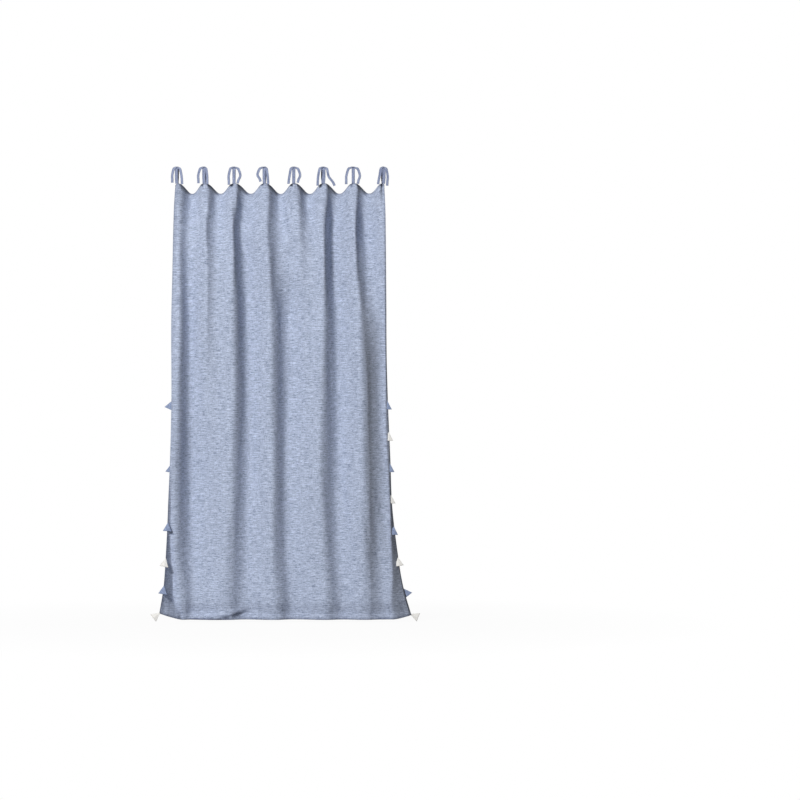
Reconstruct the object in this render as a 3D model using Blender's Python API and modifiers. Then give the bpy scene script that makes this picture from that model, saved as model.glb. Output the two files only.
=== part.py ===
"""Tie-top curtain panel: one pleated cloth with sewn hems, eight rod ties and two rows of folded points.

Run with: blender --background --python part.py
Units are metres. +Z is up, the face of the curtain looks along -Y, and +X is on the viewer's right.
The origin is on the axis of the rod that the ties are knotted round, half-way between the outer ties.
"""

import math

import bmesh
import bpy
from mathutils import Matrix, Vector
from mathutils.bvhtree import BVHTree

# What the ties are made for, and the clearances between pieces
ROD_DIAMETER = 0.025
ROD_CLEARANCE = 0.0006
SEAM_GAP = 0.0003

# The panel: its cloth and its drop, measured down from the rod's axis
CLOTH_WIDTH = 1.50
PEAK_DROP = 0.0725
HEM_DROP = 2.436
CLOTH_THICKNESS = 0.0010
HEM_THICKNESS = 0.0022
TOP_HEM = 0.012
BOTTOM_HEM = 0.030
SIDE_HEM = 0.016

# The ties along the rod, with the small shifts of hand-tied knots
TIE_SPAN = 1.1174
TIE_SHIFTS = (0.0, -0.012, -0.010, -0.005, -0.006, -0.006, -0.003, 0.0)
TIE_COUNT = len(TIE_SHIFTS)
TIE_WIDTH = 0.017
TIE_THICKNESS = 0.0012
TIE_SEAT_RADIUS = 0.0012
KNOT_RADII = Vector((0.0092, 0.0100, 0.0025))
TAIL_STAND_OFF = 0.0035
TAIL_LAYER = 0.0014

# The free top edge between two ties: its sag, how far it leans left, and its peak and flank as shares
SCALLOP_SAG = 0.0525
SCALLOP_SKEW = 0.88
SCALLOP_PEAK = 0.04
SCALLOP_FLANK = 0.44

# The sides: how far they hang outside the outer ties, by share of the drop, and how far their corners rise
LEFT_EDGE = (
    (0.0, 0.0085),
    (0.055, 0.0165),
    (0.21, 0.0255),
    (0.32, 0.0314),
    (0.49, 0.0300),
    (0.60, 0.0350),
    (0.76, 0.0480),
    (0.88, 0.0580),
    (0.94, 0.0670),
    (1.0, 0.0890),
)
RIGHT_EDGE = (
    (0.0, 0.0054),
    (0.074, 0.0122),
    (0.26, 0.0160),
    (0.39, 0.0174),
    (0.50, 0.0244),
    (0.63, 0.0375),
    (0.74, 0.0471),
    (0.85, 0.0769),
    (0.925, 0.1050),
    (1.0, 0.1520),
)
LEFT_RISE = 0.040
RIGHT_RISE = 0.018

# How far the side edges stand behind their fold lines, by share of the drop, below 0 where one is in front
LEFT_TURN = ((0.0, 0.000), (0.30, 0.008), (0.62, 0.010), (0.76, -0.010), (0.96, -0.083), (1.0, -0.085))
RIGHT_TURN = ((0.0, 0.000), (0.30, 0.008), (0.62, 0.018), (0.95, 0.080), (1.0, 0.082))

# How the folds even out: the share of the drop where they are free of the ties, the slope left of the first,
# how sharply each fades to its right, how much of the last one comes forward again, the strength below which
# one fades, and the limit on steepness
SETTLED_SHARE = 0.32
STRIP_SLOPE = 0.30
FADE_POWER = 1.35
LAST_RETURN = ((0.0, 1.0), (0.12, 0.9), (0.45, 0.20), (1.0, 0.10))
FAINT_FOLD = 0.45
STEEPEST = 6.0

# The pinch at each tie: its half-width along the top edge, and the share of the drop where it ends
PINCH_WIDTH = 0.020
PINCH_END = 0.14

# The crumple at the hem's left end: where it starts and ends, its lip's rise, and its forward bulge
CRUMPLE_START = -0.510
CRUMPLE_LIP_START = -0.400
CRUMPLE_END = -0.150
CRUMPLE_RISE = 0.066
CRUMPLE_BULGE = 0.012
CRUMPLE_SOFT = 0.026
CRUMPLE_UNDERCUT = 0.009
CRUMPLE_ROWS = (0.010, 0.045, 0.070)

# Folded points along both side hems
POINT_SIDE = 0.052
POINT_RIM = 0.0020
POINT_CREST = 0.007
POINT_EDGE_ROUND = 0.0004
POINT_SPREAD = 56.0
POINT_PITCH = 0.1705
POINT_RUN = 1.185
POINT_CORNER_CLEARANCE = 0.004

# Mesh density
COLUMNS_TO_FOLD = 5
COLUMNS_TO_RIDGE = 5
EASE_TO_FOLD = 1.35
EASE_TO_RIDGE = 1.35
TAIL_STEPS = 2
BODY_ROWS = 24
LENGTH_SAMPLES = 600
SCALE_HALVINGS = 22
RIM_SAMPLES = 300
ARC_POINTS = 12

# The folds, each a strip along which the cloth turns back. Each line holds a share of the drop and there the
# strip's place as a share of the tie span, its steepness, and how far it eases out to the left and the right
FOLDS = (
    (
        (0.00, -0.461, 0.75, 0.036, 0.038),
        (0.10, -0.472, 0.55, 0.026, 0.038),
        (0.17, -0.470, 0.75, 0.024, 0.030),
        (0.31, -0.463, 1.12, 0.028, 0.030),
        (0.49, -0.469, 1.20, 0.032, 0.034),
        (0.68, -0.475, 1.20, 0.040, 0.042),
        (0.83, -0.475, 0.88, 0.038, 0.046),
        (0.96, -0.458, 0.50, 0.040, 0.046),
    ),
    (
        (0.00, -0.325, 0.75, 0.036, 0.038),
        (0.10, -0.352, 0.60, 0.012, 0.040),
        (0.17, -0.347, 0.40, 0.014, 0.045),
        (0.31, -0.354, 0.36, 0.018, 0.050),
        (0.49, -0.354, 0.15, 0.020, 0.050),
        (0.68, -0.354, 0.00, 0.020, 0.050),
    ),
    (
        (0.00, -0.207, 0.80, 0.020, 0.054),
        (0.10, -0.221, 1.15, 0.008, 0.024),
        (0.17, -0.211, 1.00, 0.014, 0.040),
        (0.31, -0.193, 1.06, 0.032, 0.040),
        (0.49, -0.188, 1.12, 0.036, 0.038),
        (0.68, -0.192, 0.94, 0.052, 0.044),
        (0.83, -0.211, 0.74, 0.046, 0.058),
        (0.96, -0.214, 0.50, 0.050, 0.050),
    ),
    (
        (0.00, -0.034, 0.78, 0.036, 0.038),
        (0.10, -0.049, 0.60, 0.020, 0.058),
        (0.17, -0.040, 0.62, 0.022, 0.062),
        (0.31, -0.008, 0.96, 0.042, 0.044),
        (0.49, -0.005, 1.13, 0.044, 0.046),
        (0.68, -0.008, 1.05, 0.034, 0.044),
        (0.83, -0.005, 0.80, 0.042, 0.046),
        (0.96, 0.019, 0.55, 0.050, 0.050),
    ),
    (
        (0.00, 0.106, 0.78, 0.036, 0.038),
        (0.10, 0.106, 0.42, 0.024, 0.044),
        (0.17, 0.116, 0.25, 0.026, 0.050),
        (0.31, 0.125, 0.08, 0.026, 0.050),
        (0.49, 0.125, 0.00, 0.026, 0.050),
    ),
    (
        (0.00, 0.235, 0.80, 0.024, 0.050),
        (0.10, 0.225, 1.20, 0.014, 0.024),
        (0.17, 0.227, 1.15, 0.014, 0.028),
        (0.31, 0.241, 1.00, 0.030, 0.044),
        (0.49, 0.245, 1.06, 0.052, 0.050),
        (0.68, 0.240, 0.92, 0.052, 0.050),
        (0.83, 0.247, 0.70, 0.048, 0.050),
        (0.96, 0.266, 0.50, 0.050, 0.050),
    ),
    (
        (0.00, 0.383, 0.82, 0.024, 0.046),
        (0.10, 0.370, 1.10, 0.009, 0.048),
        (0.17, 0.382, 0.86, 0.016, 0.066),
        (0.31, 0.408, 0.68, 0.030, 0.080),
        (0.49, 0.426, 0.96, 0.038, 0.056),
        (0.68, 0.436, 0.85, 0.050, 0.058),
        (0.83, 0.436, 0.80, 0.044, 0.042),
        (0.96, 0.440, 0.47, 0.050, 0.050),
    ),
)

# The outer ridges, measured outward from the outer ties, by share of the drop
LEFT_RIDGE = ((0.0, 0.0), (0.50, 0.014), (0.80, 0.036), (0.95, 0.019), (1.0, -0.026))
RIGHT_RIDGE = ((0.0, 0.0), (0.50, 0.012), (0.80, 0.040), (0.90, 0.049), (0.96, 0.040), (1.0, 0.056))

# How far each tie's back half lies to the right of its front half
TIE_SLANTS = (0.004, 0.003, 0.0, 0.003, 0.0, -0.008, 0.0, -0.008)

# Each tie's two tails: how far the tail bows out, where it ends, and its drop
TAILS = (
    ((-0.024, -0.024, 0.070), (0.026, 0.029, 0.078)),
    ((-0.031, -0.030, 0.073), (0.017, 0.018, 0.078)),
    ((-0.028, -0.027, 0.081), (0.035, 0.020, 0.073)),
    ((-0.037, -0.020, 0.064), (0.018, 0.021, 0.078)),
    ((-0.022, -0.028, 0.076), (0.035, 0.022, 0.070)),
    ((-0.027, -0.030, 0.086), (0.030, 0.062, 0.086)),
    ((-0.037, -0.038, 0.078), (0.036, 0.025, 0.076)),
    ((-0.020, -0.028, 0.078), (0.024, 0.021, 0.086)),
)

# Each point's swing about its sewn corner in degrees, how far it is sewn inside the edge, how much higher than
# an even spacing it is sewn, and whether it lies on the front
LEFT_POINTS = (
    (-24, 0.003, 0.0, False),
    (26, 0.012, 0.0, False),
    (-10, 0.008, 0.0, False),
    (20, 0.010, 0.0, False),
    (-4, 0.003, 0.024, True),
    (-13, 0.002, 0.004, True),
    (-9, 0.002, 0.028, True),
    (-52, 0.003, 0.0, True),
)
RIGHT_POINTS = (
    (0, 0.003, 0.0, True),
    (0, 0.003, 0.0, True),
    (0, 0.003, 0.0, True),
    (0, 0.003, 0.0, True),
    (-2, 0.003, 0.0, True),
    (10, 0.003, 0.0, True),
    (38, 0.003, 0.0, True),
    (68, 0.003, 0.0, True),
)

CLOTH_BLUE = (0.400, 0.470, 0.610, 1.0)
POINT_WHITE = (0.780, 0.755, 0.700, 1.0)


def smooth(t):
    """A soft step from 0 to 1."""
    t = min(max(t, 0.0), 1.0)
    return t * t * (3 - 2 * t)


def along(v, keys):
    """A value that eases from key to key, each (share of the drop, value)."""
    for (v0, a), (v1, b) in zip(keys, keys[1:]):
        if v <= v1:
            return a + (b - a) * smooth((v - v0) / (v1 - v0))
    return keys[-1][1]


def curve(v, keys):
    """A value on a smooth curve through all keys, each (share of the drop, value)."""
    i = max(k for k in range(len(keys) - 1) if k == 0 or v >= keys[k][0])
    (v0, a), (v1, b) = keys[i], keys[i + 1]
    before = keys[max(i - 1, 0)]
    after = keys[min(i + 2, len(keys) - 1)]
    start = (b - before[1]) / (v1 - before[0]) * (v1 - v0)
    end = (after[1] - a) / (after[0] - v0) * (v1 - v0)
    t = (v - v0) / (v1 - v0)
    return a + start * t + (3 * (b - a) - 2 * start - end) * t * t + (start + end - 2 * (b - a)) * t**3


def tie_places():
    """The x of every tie, from left to right."""
    pitch = TIE_SPAN / (TIE_COUNT - 1)
    return [pitch * i - TIE_SPAN / 2 + shift for i, shift in enumerate(TIE_SHIFTS)]


def side_edges(v):
    """The x of the left and right edges at a share of the drop."""
    return -TIE_SPAN / 2 - curve(v, LEFT_EDGE), TIE_SPAN / 2 + curve(v, RIGHT_EDGE)


def fold_line(lines, v):
    """A fold's place in metres, its steepness and its widths to the left and right, at a share of the drop."""
    place, steepness, left, right = [along(v, [(line[0], line[k]) for line in lines]) for k in range(1, 5)]
    return place * TIE_SPAN, steepness, left, right


def fold_places(v):
    """The x of every fold at a share of the drop."""
    return [fold_line(lines, v)[0] for lines in FOLDS]


def ridge_places(v):
    """The x of every ridge: at the ties on top, and half-way between the folds lower down."""
    ties = tie_places()
    places = fold_places(v)
    inner = [
        tie + ((a + b) / 2 - tie) * smooth(v / SETTLED_SHARE)
        for tie, a, b in zip(ties[1:-1], places, places[1:])
    ]
    return [ties[0] - along(v, LEFT_RIDGE), *inner, ties[-1] + along(v, RIGHT_RIDGE)]


def stations(v):
    """The lines that the cloth's columns follow: edge, ridge, fold, ridge, and so on to the other edge."""
    left, right = side_edges(v)
    ridges = ridge_places(v)
    places = [left, ridges[0]]
    for fold, ridge in zip(fold_places(v), ridges[1:]):
        places += [fold, ridge]
    return [*places, right]


def flap_shares(x, v):
    """How far x lies out on the left and the right flap, from 0 at its fold line to 1 at the edge."""
    left, right = side_edges(v)
    ridges = ridge_places(v)
    on_left = min(max((ridges[0] - x) / (ridges[0] - left), 0.0), 1.0)
    return on_left, min(max((x - ridges[-1]) / (right - ridges[-1]), 0.0), 1.0)


class Row:
    """A level row across the cloth, with its folds as steep as the width of the cloth makes them."""

    kept = {}

    def __init__(self, v):
        self.v = v
        self.left, self.right = side_edges(v)
        self.folds = [fold_line(lines, v) for lines in FOLDS]
        self.ridges = ridge_places(v)
        self.returns = self.return_slopes()
        self.step = (self.right - self.left) / LENGTH_SAMPLES
        xs = [self.left + self.step * i for i in range(LENGTH_SAMPLES + 1)]
        self.shape = self.folded(xs)
        self.still = [self.turned(x) for x in xs]
        self.scale = self.solved_scale()

    def return_slopes(self):
        """Where the cloth comes forward again after each fold, and how steeply: start, end and slope."""
        ends = [fold[0] for fold in self.folds[1:]] + [self.ridges[-1]]
        stretches = [(self.ridges[0], self.folds[0][0], STRIP_SLOPE)]
        for i, (place, steepness, left, right) in enumerate(self.folds):
            height = steepness * (left * math.sqrt(math.pi) / 2 + right * math.gamma(1 + 1 / FADE_POWER))
            if i + 1 == len(self.folds):
                stretches.append((place, ends[i], height * along(self.v, LAST_RETURN) / (ends[i] - place)))
                continue
            full = smooth(self.folds[i + 1][1] / FAINT_FOLD)
            stretches.append((place, ends[i], full * height / (ends[i] - place)))
            stretches.append((place, ends[i + 1], (1 - full) * height / (ends[i + 1] - place)))
        return stretches

    def slope(self, x):
        """The slope of the cloth at x before it is scaled, above 0 where the cloth goes back."""
        total = 0.0
        for place, steepness, left, right in self.folds:
            if x < place:
                total += steepness * math.exp(-(((place - x) / left) ** 2))
            else:
                total += steepness * math.exp(-(((x - place) / right) ** FADE_POWER))
        return total - sum(slope for start, end, slope in self.returns if start < x < end)

    def folded(self, xs):
        """The folds' depth at every x before it is scaled, held at 0 by the ties."""
        slopes = [self.slope(x) for x in xs]
        depths = [0.0]
        for a, b in zip(slopes, slopes[1:]):
            depths.append(depths[-1] + (a + b) / 2 * self.step)
        place, _, left, _ = self.folds[0]
        level = depths[max(round((place - 1.5 * left - self.left) / self.step), 0)]
        held = 1 - smooth(self.v / PINCH_END)
        shape = []
        for x, depth in zip(xs, depths):
            for tie in tie_places():
                depth -= (depth - level) * held * math.exp(-(((x - tie) / PINCH_WIDTH) ** 2))
            shape.append(depth - level)
        return shape

    def turned(self, x):
        """How far the flap stands back at x."""
        on_left, on_right = flap_shares(x, self.v)
        return along(self.v, LEFT_TURN) * on_left**1.2 + along(self.v, RIGHT_TURN) * on_right**1.2

    def solved_scale(self):
        """The scale of the folds at which the row's length is the cloth's width."""
        low, high = 0.0, STEEPEST
        for _ in range(SCALE_HALVINGS):
            scale = (low + high) / 2
            ys = [scale * share + still for share, still in zip(self.shape, self.still)]
            length = sum(math.hypot(self.step, b - a) for a, b in zip(ys, ys[1:]))
            low, high = (scale, high) if length < CLOTH_WIDTH else (low, scale)
        return (low + high) / 2

    def y(self, x):
        """The depth of the cloth's middle at x."""
        place = min(max((x - self.left) / self.step, 0.0), LENGTH_SAMPLES)
        i = min(int(place), LENGTH_SAMPLES - 1)
        share = self.shape[i] + (self.shape[i + 1] - self.shape[i]) * (place - i)
        return self.scale * share + self.turned(x) + crumple(x, self.v)


def row_at(v):
    """The row at a share of the drop, worked out once."""
    if v not in Row.kept:
        Row.kept[v] = Row(v)
    return Row.kept[v]


def crumple(x, v):
    """The small turned-under fold along the left end of the hem: a bulge above its lip, cut back below it."""
    height = (1 - v) * (HEM_DROP - PEAK_DROP)
    if not CRUMPLE_START < x < CRUMPLE_END or height > 4 * CRUMPLE_RISE:
        return 0.0
    lip = CRUMPLE_RISE * max(0.0, (x - CRUMPLE_LIP_START) / (CRUMPLE_END - CRUMPLE_LIP_START)) ** 1.3
    soft = CRUMPLE_SOFT if height > lip else CRUMPLE_UNDERCUT
    fade = (CRUMPLE_END - CRUMPLE_START) / 4
    span = smooth((x - CRUMPLE_START) / fade) * smooth((CRUMPLE_END - x) / fade)
    return -CRUMPLE_BULGE * span * math.exp(-(((height - lip) / soft) ** 2))


def top_drop(x):
    """How far the top edge hangs below the rod's axis at x."""
    ties = tie_places()
    for a, b in zip(ties, ties[1:]):
        if a <= x <= b:
            t = ((x - a) / (b - a)) ** (1 / SCALLOP_SKEW)
            return PEAK_DROP + SCALLOP_SAG * smooth((0.5 - abs(t - 0.5) - SCALLOP_PEAK) / SCALLOP_FLANK)
    outside = max(ties[0] - x, x - ties[-1])
    return PEAK_DROP + outside


def cloth_point(x, v):
    """The middle of the cloth at x on the row at a share of the drop."""
    on_left, on_right = flap_shares(x, v)
    rise = LEFT_RISE * on_left**1.2 + RIGHT_RISE * on_right**1.5
    return Vector((x, row_at(v).y(x), -(top_drop(x) * (1 - v) + (HEM_DROP - rise) * v)))


def share_at(drop):
    """The share of the panel's drop at a level below the rod's axis."""
    return min(max((drop - PEAK_DROP) / (HEM_DROP - PEAK_DROP), 0.0), 1.0)


def side_steps(v, side):
    """Where a side's columns stand between its edge and its outer ridge, the first at the hem's sewn line."""
    edge = side_edges(v)[side]
    ridge = ridge_places(v)[-side]
    turn = along(v, (LEFT_TURN, RIGHT_TURN)[side])
    hem = min(SIDE_HEM / math.hypot(edge - ridge, turn), 0.5)
    return [0.0, hem, (1 + hem) / 2, 1.0]


def column_places(v):
    """The x of every column of the mesh on one row, closer together at the folds."""
    lines = stations(v)
    xs = [lines[0] + (lines[1] - lines[0]) * q for q in side_steps(v, 0)[:-1]]
    for i, (a, b) in enumerate(zip(lines[1:-1], lines[2:-1])):
        to_fold = i % 2 == 0
        count = COLUMNS_TO_FOLD if to_fold else COLUMNS_TO_RIDGE
        for step in range(count):
            q = step / count
            q = 1 - (1 - q) ** EASE_TO_FOLD if to_fold else q**EASE_TO_RIDGE
            xs.append(a + (b - a) * q)
    xs += [lines[-1] + (lines[-2] - lines[-1]) * q for q in reversed(side_steps(v, 1))]
    return xs


def row_shares():
    """The share of the drop of every row of the mesh, with a row at each hem's sewn line."""
    body = [i / BODY_ROWS for i in range(BODY_ROWS + 1)]
    top = share_at(PEAK_DROP + TOP_HEM)
    bottom = share_at(HEM_DROP - max(CRUMPLE_ROWS))
    inner = [top + (bottom - top) * (0.6 * t + 0.4 * (1 - math.cos(math.pi * t)) / 2) for t in body]
    low = [share_at(HEM_DROP - height) for height in (*CRUMPLE_ROWS[:-1], BOTTOM_HEM)]
    return [0.0, *inner, *sorted(low), 1.0]


def link(obj, collection):
    """Puts an object into a collection."""
    collection.objects.link(obj)
    return obj


def mesh_object(name, mesh, collection, material):
    """An object of this mesh with its own material."""
    obj = link(bpy.data.objects.new(name, mesh), collection)
    if material:
        mesh.materials.append(material)
    return obj


def cloth_material(name, colour):
    """Plain woven cloth."""
    material = bpy.data.materials.new(name)
    material.use_nodes = True
    shader = material.node_tree.nodes["Principled BSDF"]
    shader.inputs["Base Color"].default_value = colour
    shader.inputs["Roughness"].default_value = 0.9
    shader.inputs["Metallic"].default_value = 0.0
    return material


def make_panel(collection):
    """The draped cloth: a grid bent into its folds, thickened, with thicker hems round all four edges."""
    rows = row_shares()
    width = len(column_places(0.0))
    grid = bmesh.new()
    bmesh.ops.create_grid(grid, x_segments=width - 1, y_segments=len(rows) - 1, size=1.0)
    hem_points = []
    by_place = sorted(grid.verts, key=lambda vert: (-round(vert.co.y, 5), round(vert.co.x, 5)))
    for j, v in enumerate(rows):
        in_hem = v < rows[2] or v >= share_at(HEM_DROP - BOTTOM_HEM)
        for i, x in enumerate(column_places(v)):
            vert = by_place[j * width + i]
            vert.co = cloth_point(x, v)
            if in_hem or i < 2 or i >= width - 2:
                hem_points.append(vert)
    bmesh.ops.recalc_face_normals(grid, faces=grid.faces)
    grid.verts.index_update()
    hem_indices = [vert.index for vert in hem_points]
    every_index = range(len(grid.verts))
    mesh = bpy.data.meshes.new("panel")
    grid.to_mesh(mesh)
    grid.free()
    panel = mesh_object("panel", mesh, collection, cloth_material("panel_cloth", CLOTH_BLUE))
    mesh.shade_smooth()
    thick = panel.vertex_groups.new(name="hem_thickness")
    thick.add(list(every_index), CLOTH_THICKNESS / HEM_THICKNESS, "REPLACE")
    thick.add(hem_indices, 1.0, "REPLACE")
    solid = panel.modifiers.new("cloth_thickness", "SOLIDIFY")
    solid.thickness = HEM_THICKNESS
    solid.offset = 0.0
    solid.vertex_group = thick.name
    return panel


def belt(big, small, distance, arc_points):
    """The outline of a band round a circle at the origin and a smaller one at the given distance below it."""
    lean = math.asin((big - small) / distance)
    points = []
    for i in range(arc_points + 1):
        angle = -lean + (math.pi + 2 * lean) * i / arc_points
        points.append((big * math.cos(angle), big * math.sin(angle)))
    low_points = arc_points // 2
    for i in range(low_points + 1):
        angle = math.pi + lean + (math.pi - 2 * lean) * i / low_points
        points.append((small * math.cos(angle), small * math.sin(angle) - distance))
    return points


def flat_outline(name, loops, half_thickness):
    """A closed solid from flat outlines: the first is the rim, the others are holes."""
    curve = bpy.data.curves.new(name, "CURVE")
    curve.dimensions = "2D"
    curve.fill_mode = "BOTH"
    curve.extrude = half_thickness
    for loop in loops:
        spline = curve.splines.new("POLY")
        spline.points.add(len(loop) - 1)
        for point, (x, y) in zip(spline.points, loop):
            point.co = (x, y, 0.0, 1.0)
        spline.use_cyclic_u = True
    shape = bpy.data.objects.new(name, curve)
    bpy.context.scene.collection.objects.link(shape)
    bpy.context.view_layer.update()
    graph = bpy.context.evaluated_depsgraph_get()
    mesh = bpy.data.meshes.new_from_object(shape.evaluated_get(graph))
    bpy.data.objects.remove(shape)
    body = bmesh.new()
    body.from_mesh(mesh)
    bmesh.ops.remove_doubles(body, verts=body.verts, dist=1e-6)
    bmesh.ops.recalc_face_normals(body, faces=body.faces)
    body.to_mesh(mesh)
    body.free()
    mesh.name = name
    return mesh


def tail_route(layer, bow, end, drop):
    """Points of a tail's middle line, from inside the knot over the rod and down; layer 1 crosses under 0."""
    reach = ROD_DIAMETER / 2 + ROD_CLEARANCE + TIE_THICKNESS + TAIL_STAND_OFF - layer * TAIL_LAYER
    knot_height = reach - TAIL_STAND_OFF + KNOT_RADII.z
    route = [Vector((0.0, 0.0, knot_height)), Vector((bow * 0.08, -0.006, knot_height - 0.0010))]
    for degrees, share in ((62, 0.20), (35, 0.46), (8, 0.72)):
        angle = math.radians(degrees)
        route.append(Vector((bow * share, -reach * math.cos(angle), reach * math.sin(angle))))
    route.append(Vector((bow, -reach - 0.001, -drop * 0.42)))
    route.append(Vector(((bow + 2 * end) / 3, -reach, -drop * 0.75)))
    route.append(Vector((end, 0.002 - reach, -drop)))
    return route


def rounded(route, steps):
    """The route with its corners eased: a smooth curve through all its points."""
    points = []
    for i, (b, c) in enumerate(zip(route, route[1:])):
        a = route[max(i - 1, 0)]
        d = route[min(i + 2, len(route) - 1)]
        for step in range(steps):
            t = step / steps
            bend = (2 * a - 5 * b + 4 * c - d) * t + (3 * b - a - 3 * c + d) * t * t
            points.append(b + (c - a + bend) * t / 2)
    return [*points, route[-1]]


def tail_mesh(name, route):
    """A flat ribbon along the route, its face out from the rod, level at the knot and cut square at its end."""
    ribbon = bmesh.new()
    pairs = []
    for i, point in enumerate(route):
        before = route[max(i - 1, 0)]
        after = route[min(i + 1, len(route) - 1)]
        heading = (after - before).normalized()
        out = Vector((0.0, point.y, max(point.z, 0.0))).normalized()
        square = heading.cross(out).normalized()
        level = Vector((math.copysign(1.0, square.x), 0.0, 0.0))
        across = level.lerp(square, i / (len(route) - 1)).normalized() * TIE_WIDTH / 2
        pairs.append((ribbon.verts.new(point - across), ribbon.verts.new(point + across)))
    for (a, b), (c, d) in zip(pairs, pairs[1:]):
        ribbon.faces.new((a, c, d, b))
    mesh = bpy.data.meshes.new(name)
    ribbon.to_mesh(mesh)
    ribbon.free()
    return mesh


def make_tie(number, x, slant, tails, collection, helpers):
    """One ribbon: a loop round the rod down to the cloth's peak, a knot on top and two tails."""
    inner = ROD_DIAMETER / 2 + ROD_CLEARANCE
    low = TIE_SEAT_RADIUS
    seat = PEAK_DROP - SEAM_GAP - low - TIE_THICKNESS
    outer_loop = belt(inner + TIE_THICKNESS, low + TIE_THICKNESS, seat, ARC_POINTS)
    mesh = flat_outline(f"tie_{number}", [outer_loop, belt(inner, low, seat, ARC_POINTS)], TIE_WIDTH / 2)
    mesh.transform(Matrix.Rotation(math.radians(90), 4, "Z") @ Matrix.Rotation(math.radians(90), 4, "X"))
    for vert in mesh.vertices:
        vert.co.x += slant / 2 * min(max(vert.co.y / (inner / 2), -1.0), 1.0)
    tie = mesh_object(f"tie_{number}", mesh, collection, cloth_material(f"tie_{number}_ribbon", CLOTH_BLUE))
    tie.location = (x, 0.0, 0.0)
    knot_body = bmesh.new()
    bmesh.ops.create_uvsphere(knot_body, u_segments=10, v_segments=6, radius=1.0)
    knot_mesh = bpy.data.meshes.new(f"tie_{number}_knot")
    knot_body.to_mesh(knot_mesh)
    knot_body.free()
    knot_mesh.transform(Matrix.Diagonal((*KNOT_RADII, 1.0)))
    for vert in knot_mesh.vertices:
        above = KNOT_RADII.z * 0.75 + vert.co.z if vert.co.z > -KNOT_RADII.z / 4 else -TIE_THICKNESS / 2
        vert.co.z = math.sqrt((inner + TIE_THICKNESS) ** 2 - vert.co.y**2) + above
    knot = mesh_object(f"tie_{number}_knot", knot_mesh, helpers, None)
    knot.location = (x, 0.0, 0.0)
    joined = [knot]
    for layer, tail in enumerate(tails):
        name = f"tie_{number}_tail_{layer + 1}"
        route = rounded(tail_route(layer, *tail), TAIL_STEPS)
        ribbon = mesh_object(name, tail_mesh(name, route), helpers, None)
        ribbon.location = (x, 0.0, 0.0)
        solid = ribbon.modifiers.new("ribbon_thickness", "SOLIDIFY")
        solid.thickness = TIE_THICKNESS
        solid.offset = 0.0
        joined.append(ribbon)
    for piece in joined:
        piece.hide_render = True
        piece.display_type = "WIRE"
        union = tie.modifiers.new(f"join_{piece.name}", "BOOLEAN")
        union.operation = "UNION"
        union.solver = "EXACT"
        union.object = piece
    return tie


def lies_on(cloth, x, drop, corners, side):
    """The y at which a flat back just clears the cloth before (-1) or behind (1) it, found along its rim."""
    nearest = []
    for (ax, az), (bx, bz) in zip(corners, [*corners[1:], corners[0]]):
        for step in range(RIM_SAMPLES):
            share = step / RIM_SAMPLES
            place = Vector((x + ax + (bx - ax) * share, side, az + (bz - az) * share - drop))
            hit = cloth.ray_cast(place, Vector((0.0, -side, 0.0)))[0]
            if hit:
                nearest.append(side * hit.y)
    return side * (max(nearest) + SEAM_GAP)


def make_point(name, index, side, sewn, cloth, collection):
    """A folded triangle of cloth that hangs from its sewn corner, flat at the back and crested in front."""
    swing, inset, higher, in_front = sewn
    corner = HEM_DROP - (LEFT_RISE if side == "left" else RIGHT_RISE)
    drop = min(HEM_DROP - POINT_RUN + POINT_PITCH * index - higher, corner - POINT_CORNER_CLEARANCE)
    left, right = side_edges((drop - PEAK_DROP) / (corner - PEAK_DROP))
    x = left + inset if side == "left" else right - inset
    outward = -1 if in_front else 1
    corners = [(0.0, 0.0)]
    for degrees in (-90 - POINT_SPREAD / 2, -90 + POINT_SPREAD / 2):
        angle = math.radians(degrees + swing)
        corners.append((POINT_SIDE * math.cos(angle), POINT_SIDE * math.sin(angle)))
    crest_x = (corners[1][0] + corners[2][0]) / 2
    crest_z = (corners[1][1] + corners[2][1]) / 2
    body = bmesh.new()
    for px, pz in corners:
        body.verts.new((px, 0.0, pz))
        body.verts.new((px, outward * POINT_RIM, pz))
    body.verts.new((crest_x, outward * POINT_CREST, crest_z))
    bmesh.ops.convex_hull(body, input=body.verts)
    bmesh.ops.recalc_face_normals(body, faces=body.faces)
    mesh = bpy.data.meshes.new(name)
    body.to_mesh(mesh)
    body.free()
    colour = CLOTH_BLUE if index % 2 == 0 else POINT_WHITE
    piece = mesh_object(name, mesh, collection, cloth_material(f"{name}_cloth", colour))
    piece.location = (x, lies_on(cloth, x, drop, corners, outward), -drop)
    bevel = piece.modifiers.new("turned_edges", "BEVEL")
    bevel.width = POINT_EDGE_ROUND
    bevel.segments = 1
    bevel.limit_method = "ANGLE"
    return piece


def main():
    """Clears the scene and builds the curtain."""
    for obj in list(bpy.data.objects):
        bpy.data.objects.remove(obj)
    scene = bpy.context.scene
    curtain = bpy.data.collections.new("curtain_panel")
    helpers = bpy.data.collections.new("shape_helpers")
    scene.collection.children.link(curtain)
    scene.collection.children.link(helpers)
    panel = make_panel(curtain)
    bpy.context.view_layer.update()
    cloth = BVHTree.FromObject(panel, bpy.context.evaluated_depsgraph_get())
    for i, (x, slant, tails) in enumerate(zip(tie_places(), TIE_SLANTS, TAILS)):
        make_tie(i + 1, x, slant, tails, curtain, helpers)
    for side, rows in (("left", LEFT_POINTS), ("right", RIGHT_POINTS)):
        for i, sewn in enumerate(rows):
            make_point(f"point_{side}_{i + 1}", i, side, sewn, cloth, curtain)


main()
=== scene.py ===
"""Looks of the tie-top curtain panel: the draped cloth, its ribbon ties and the folded points on its sides.

Every length is in metres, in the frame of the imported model: +Z up, the curtain's face along -Y.
"""

import logging
import math
from dataclasses import dataclass
from enum import Enum

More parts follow.
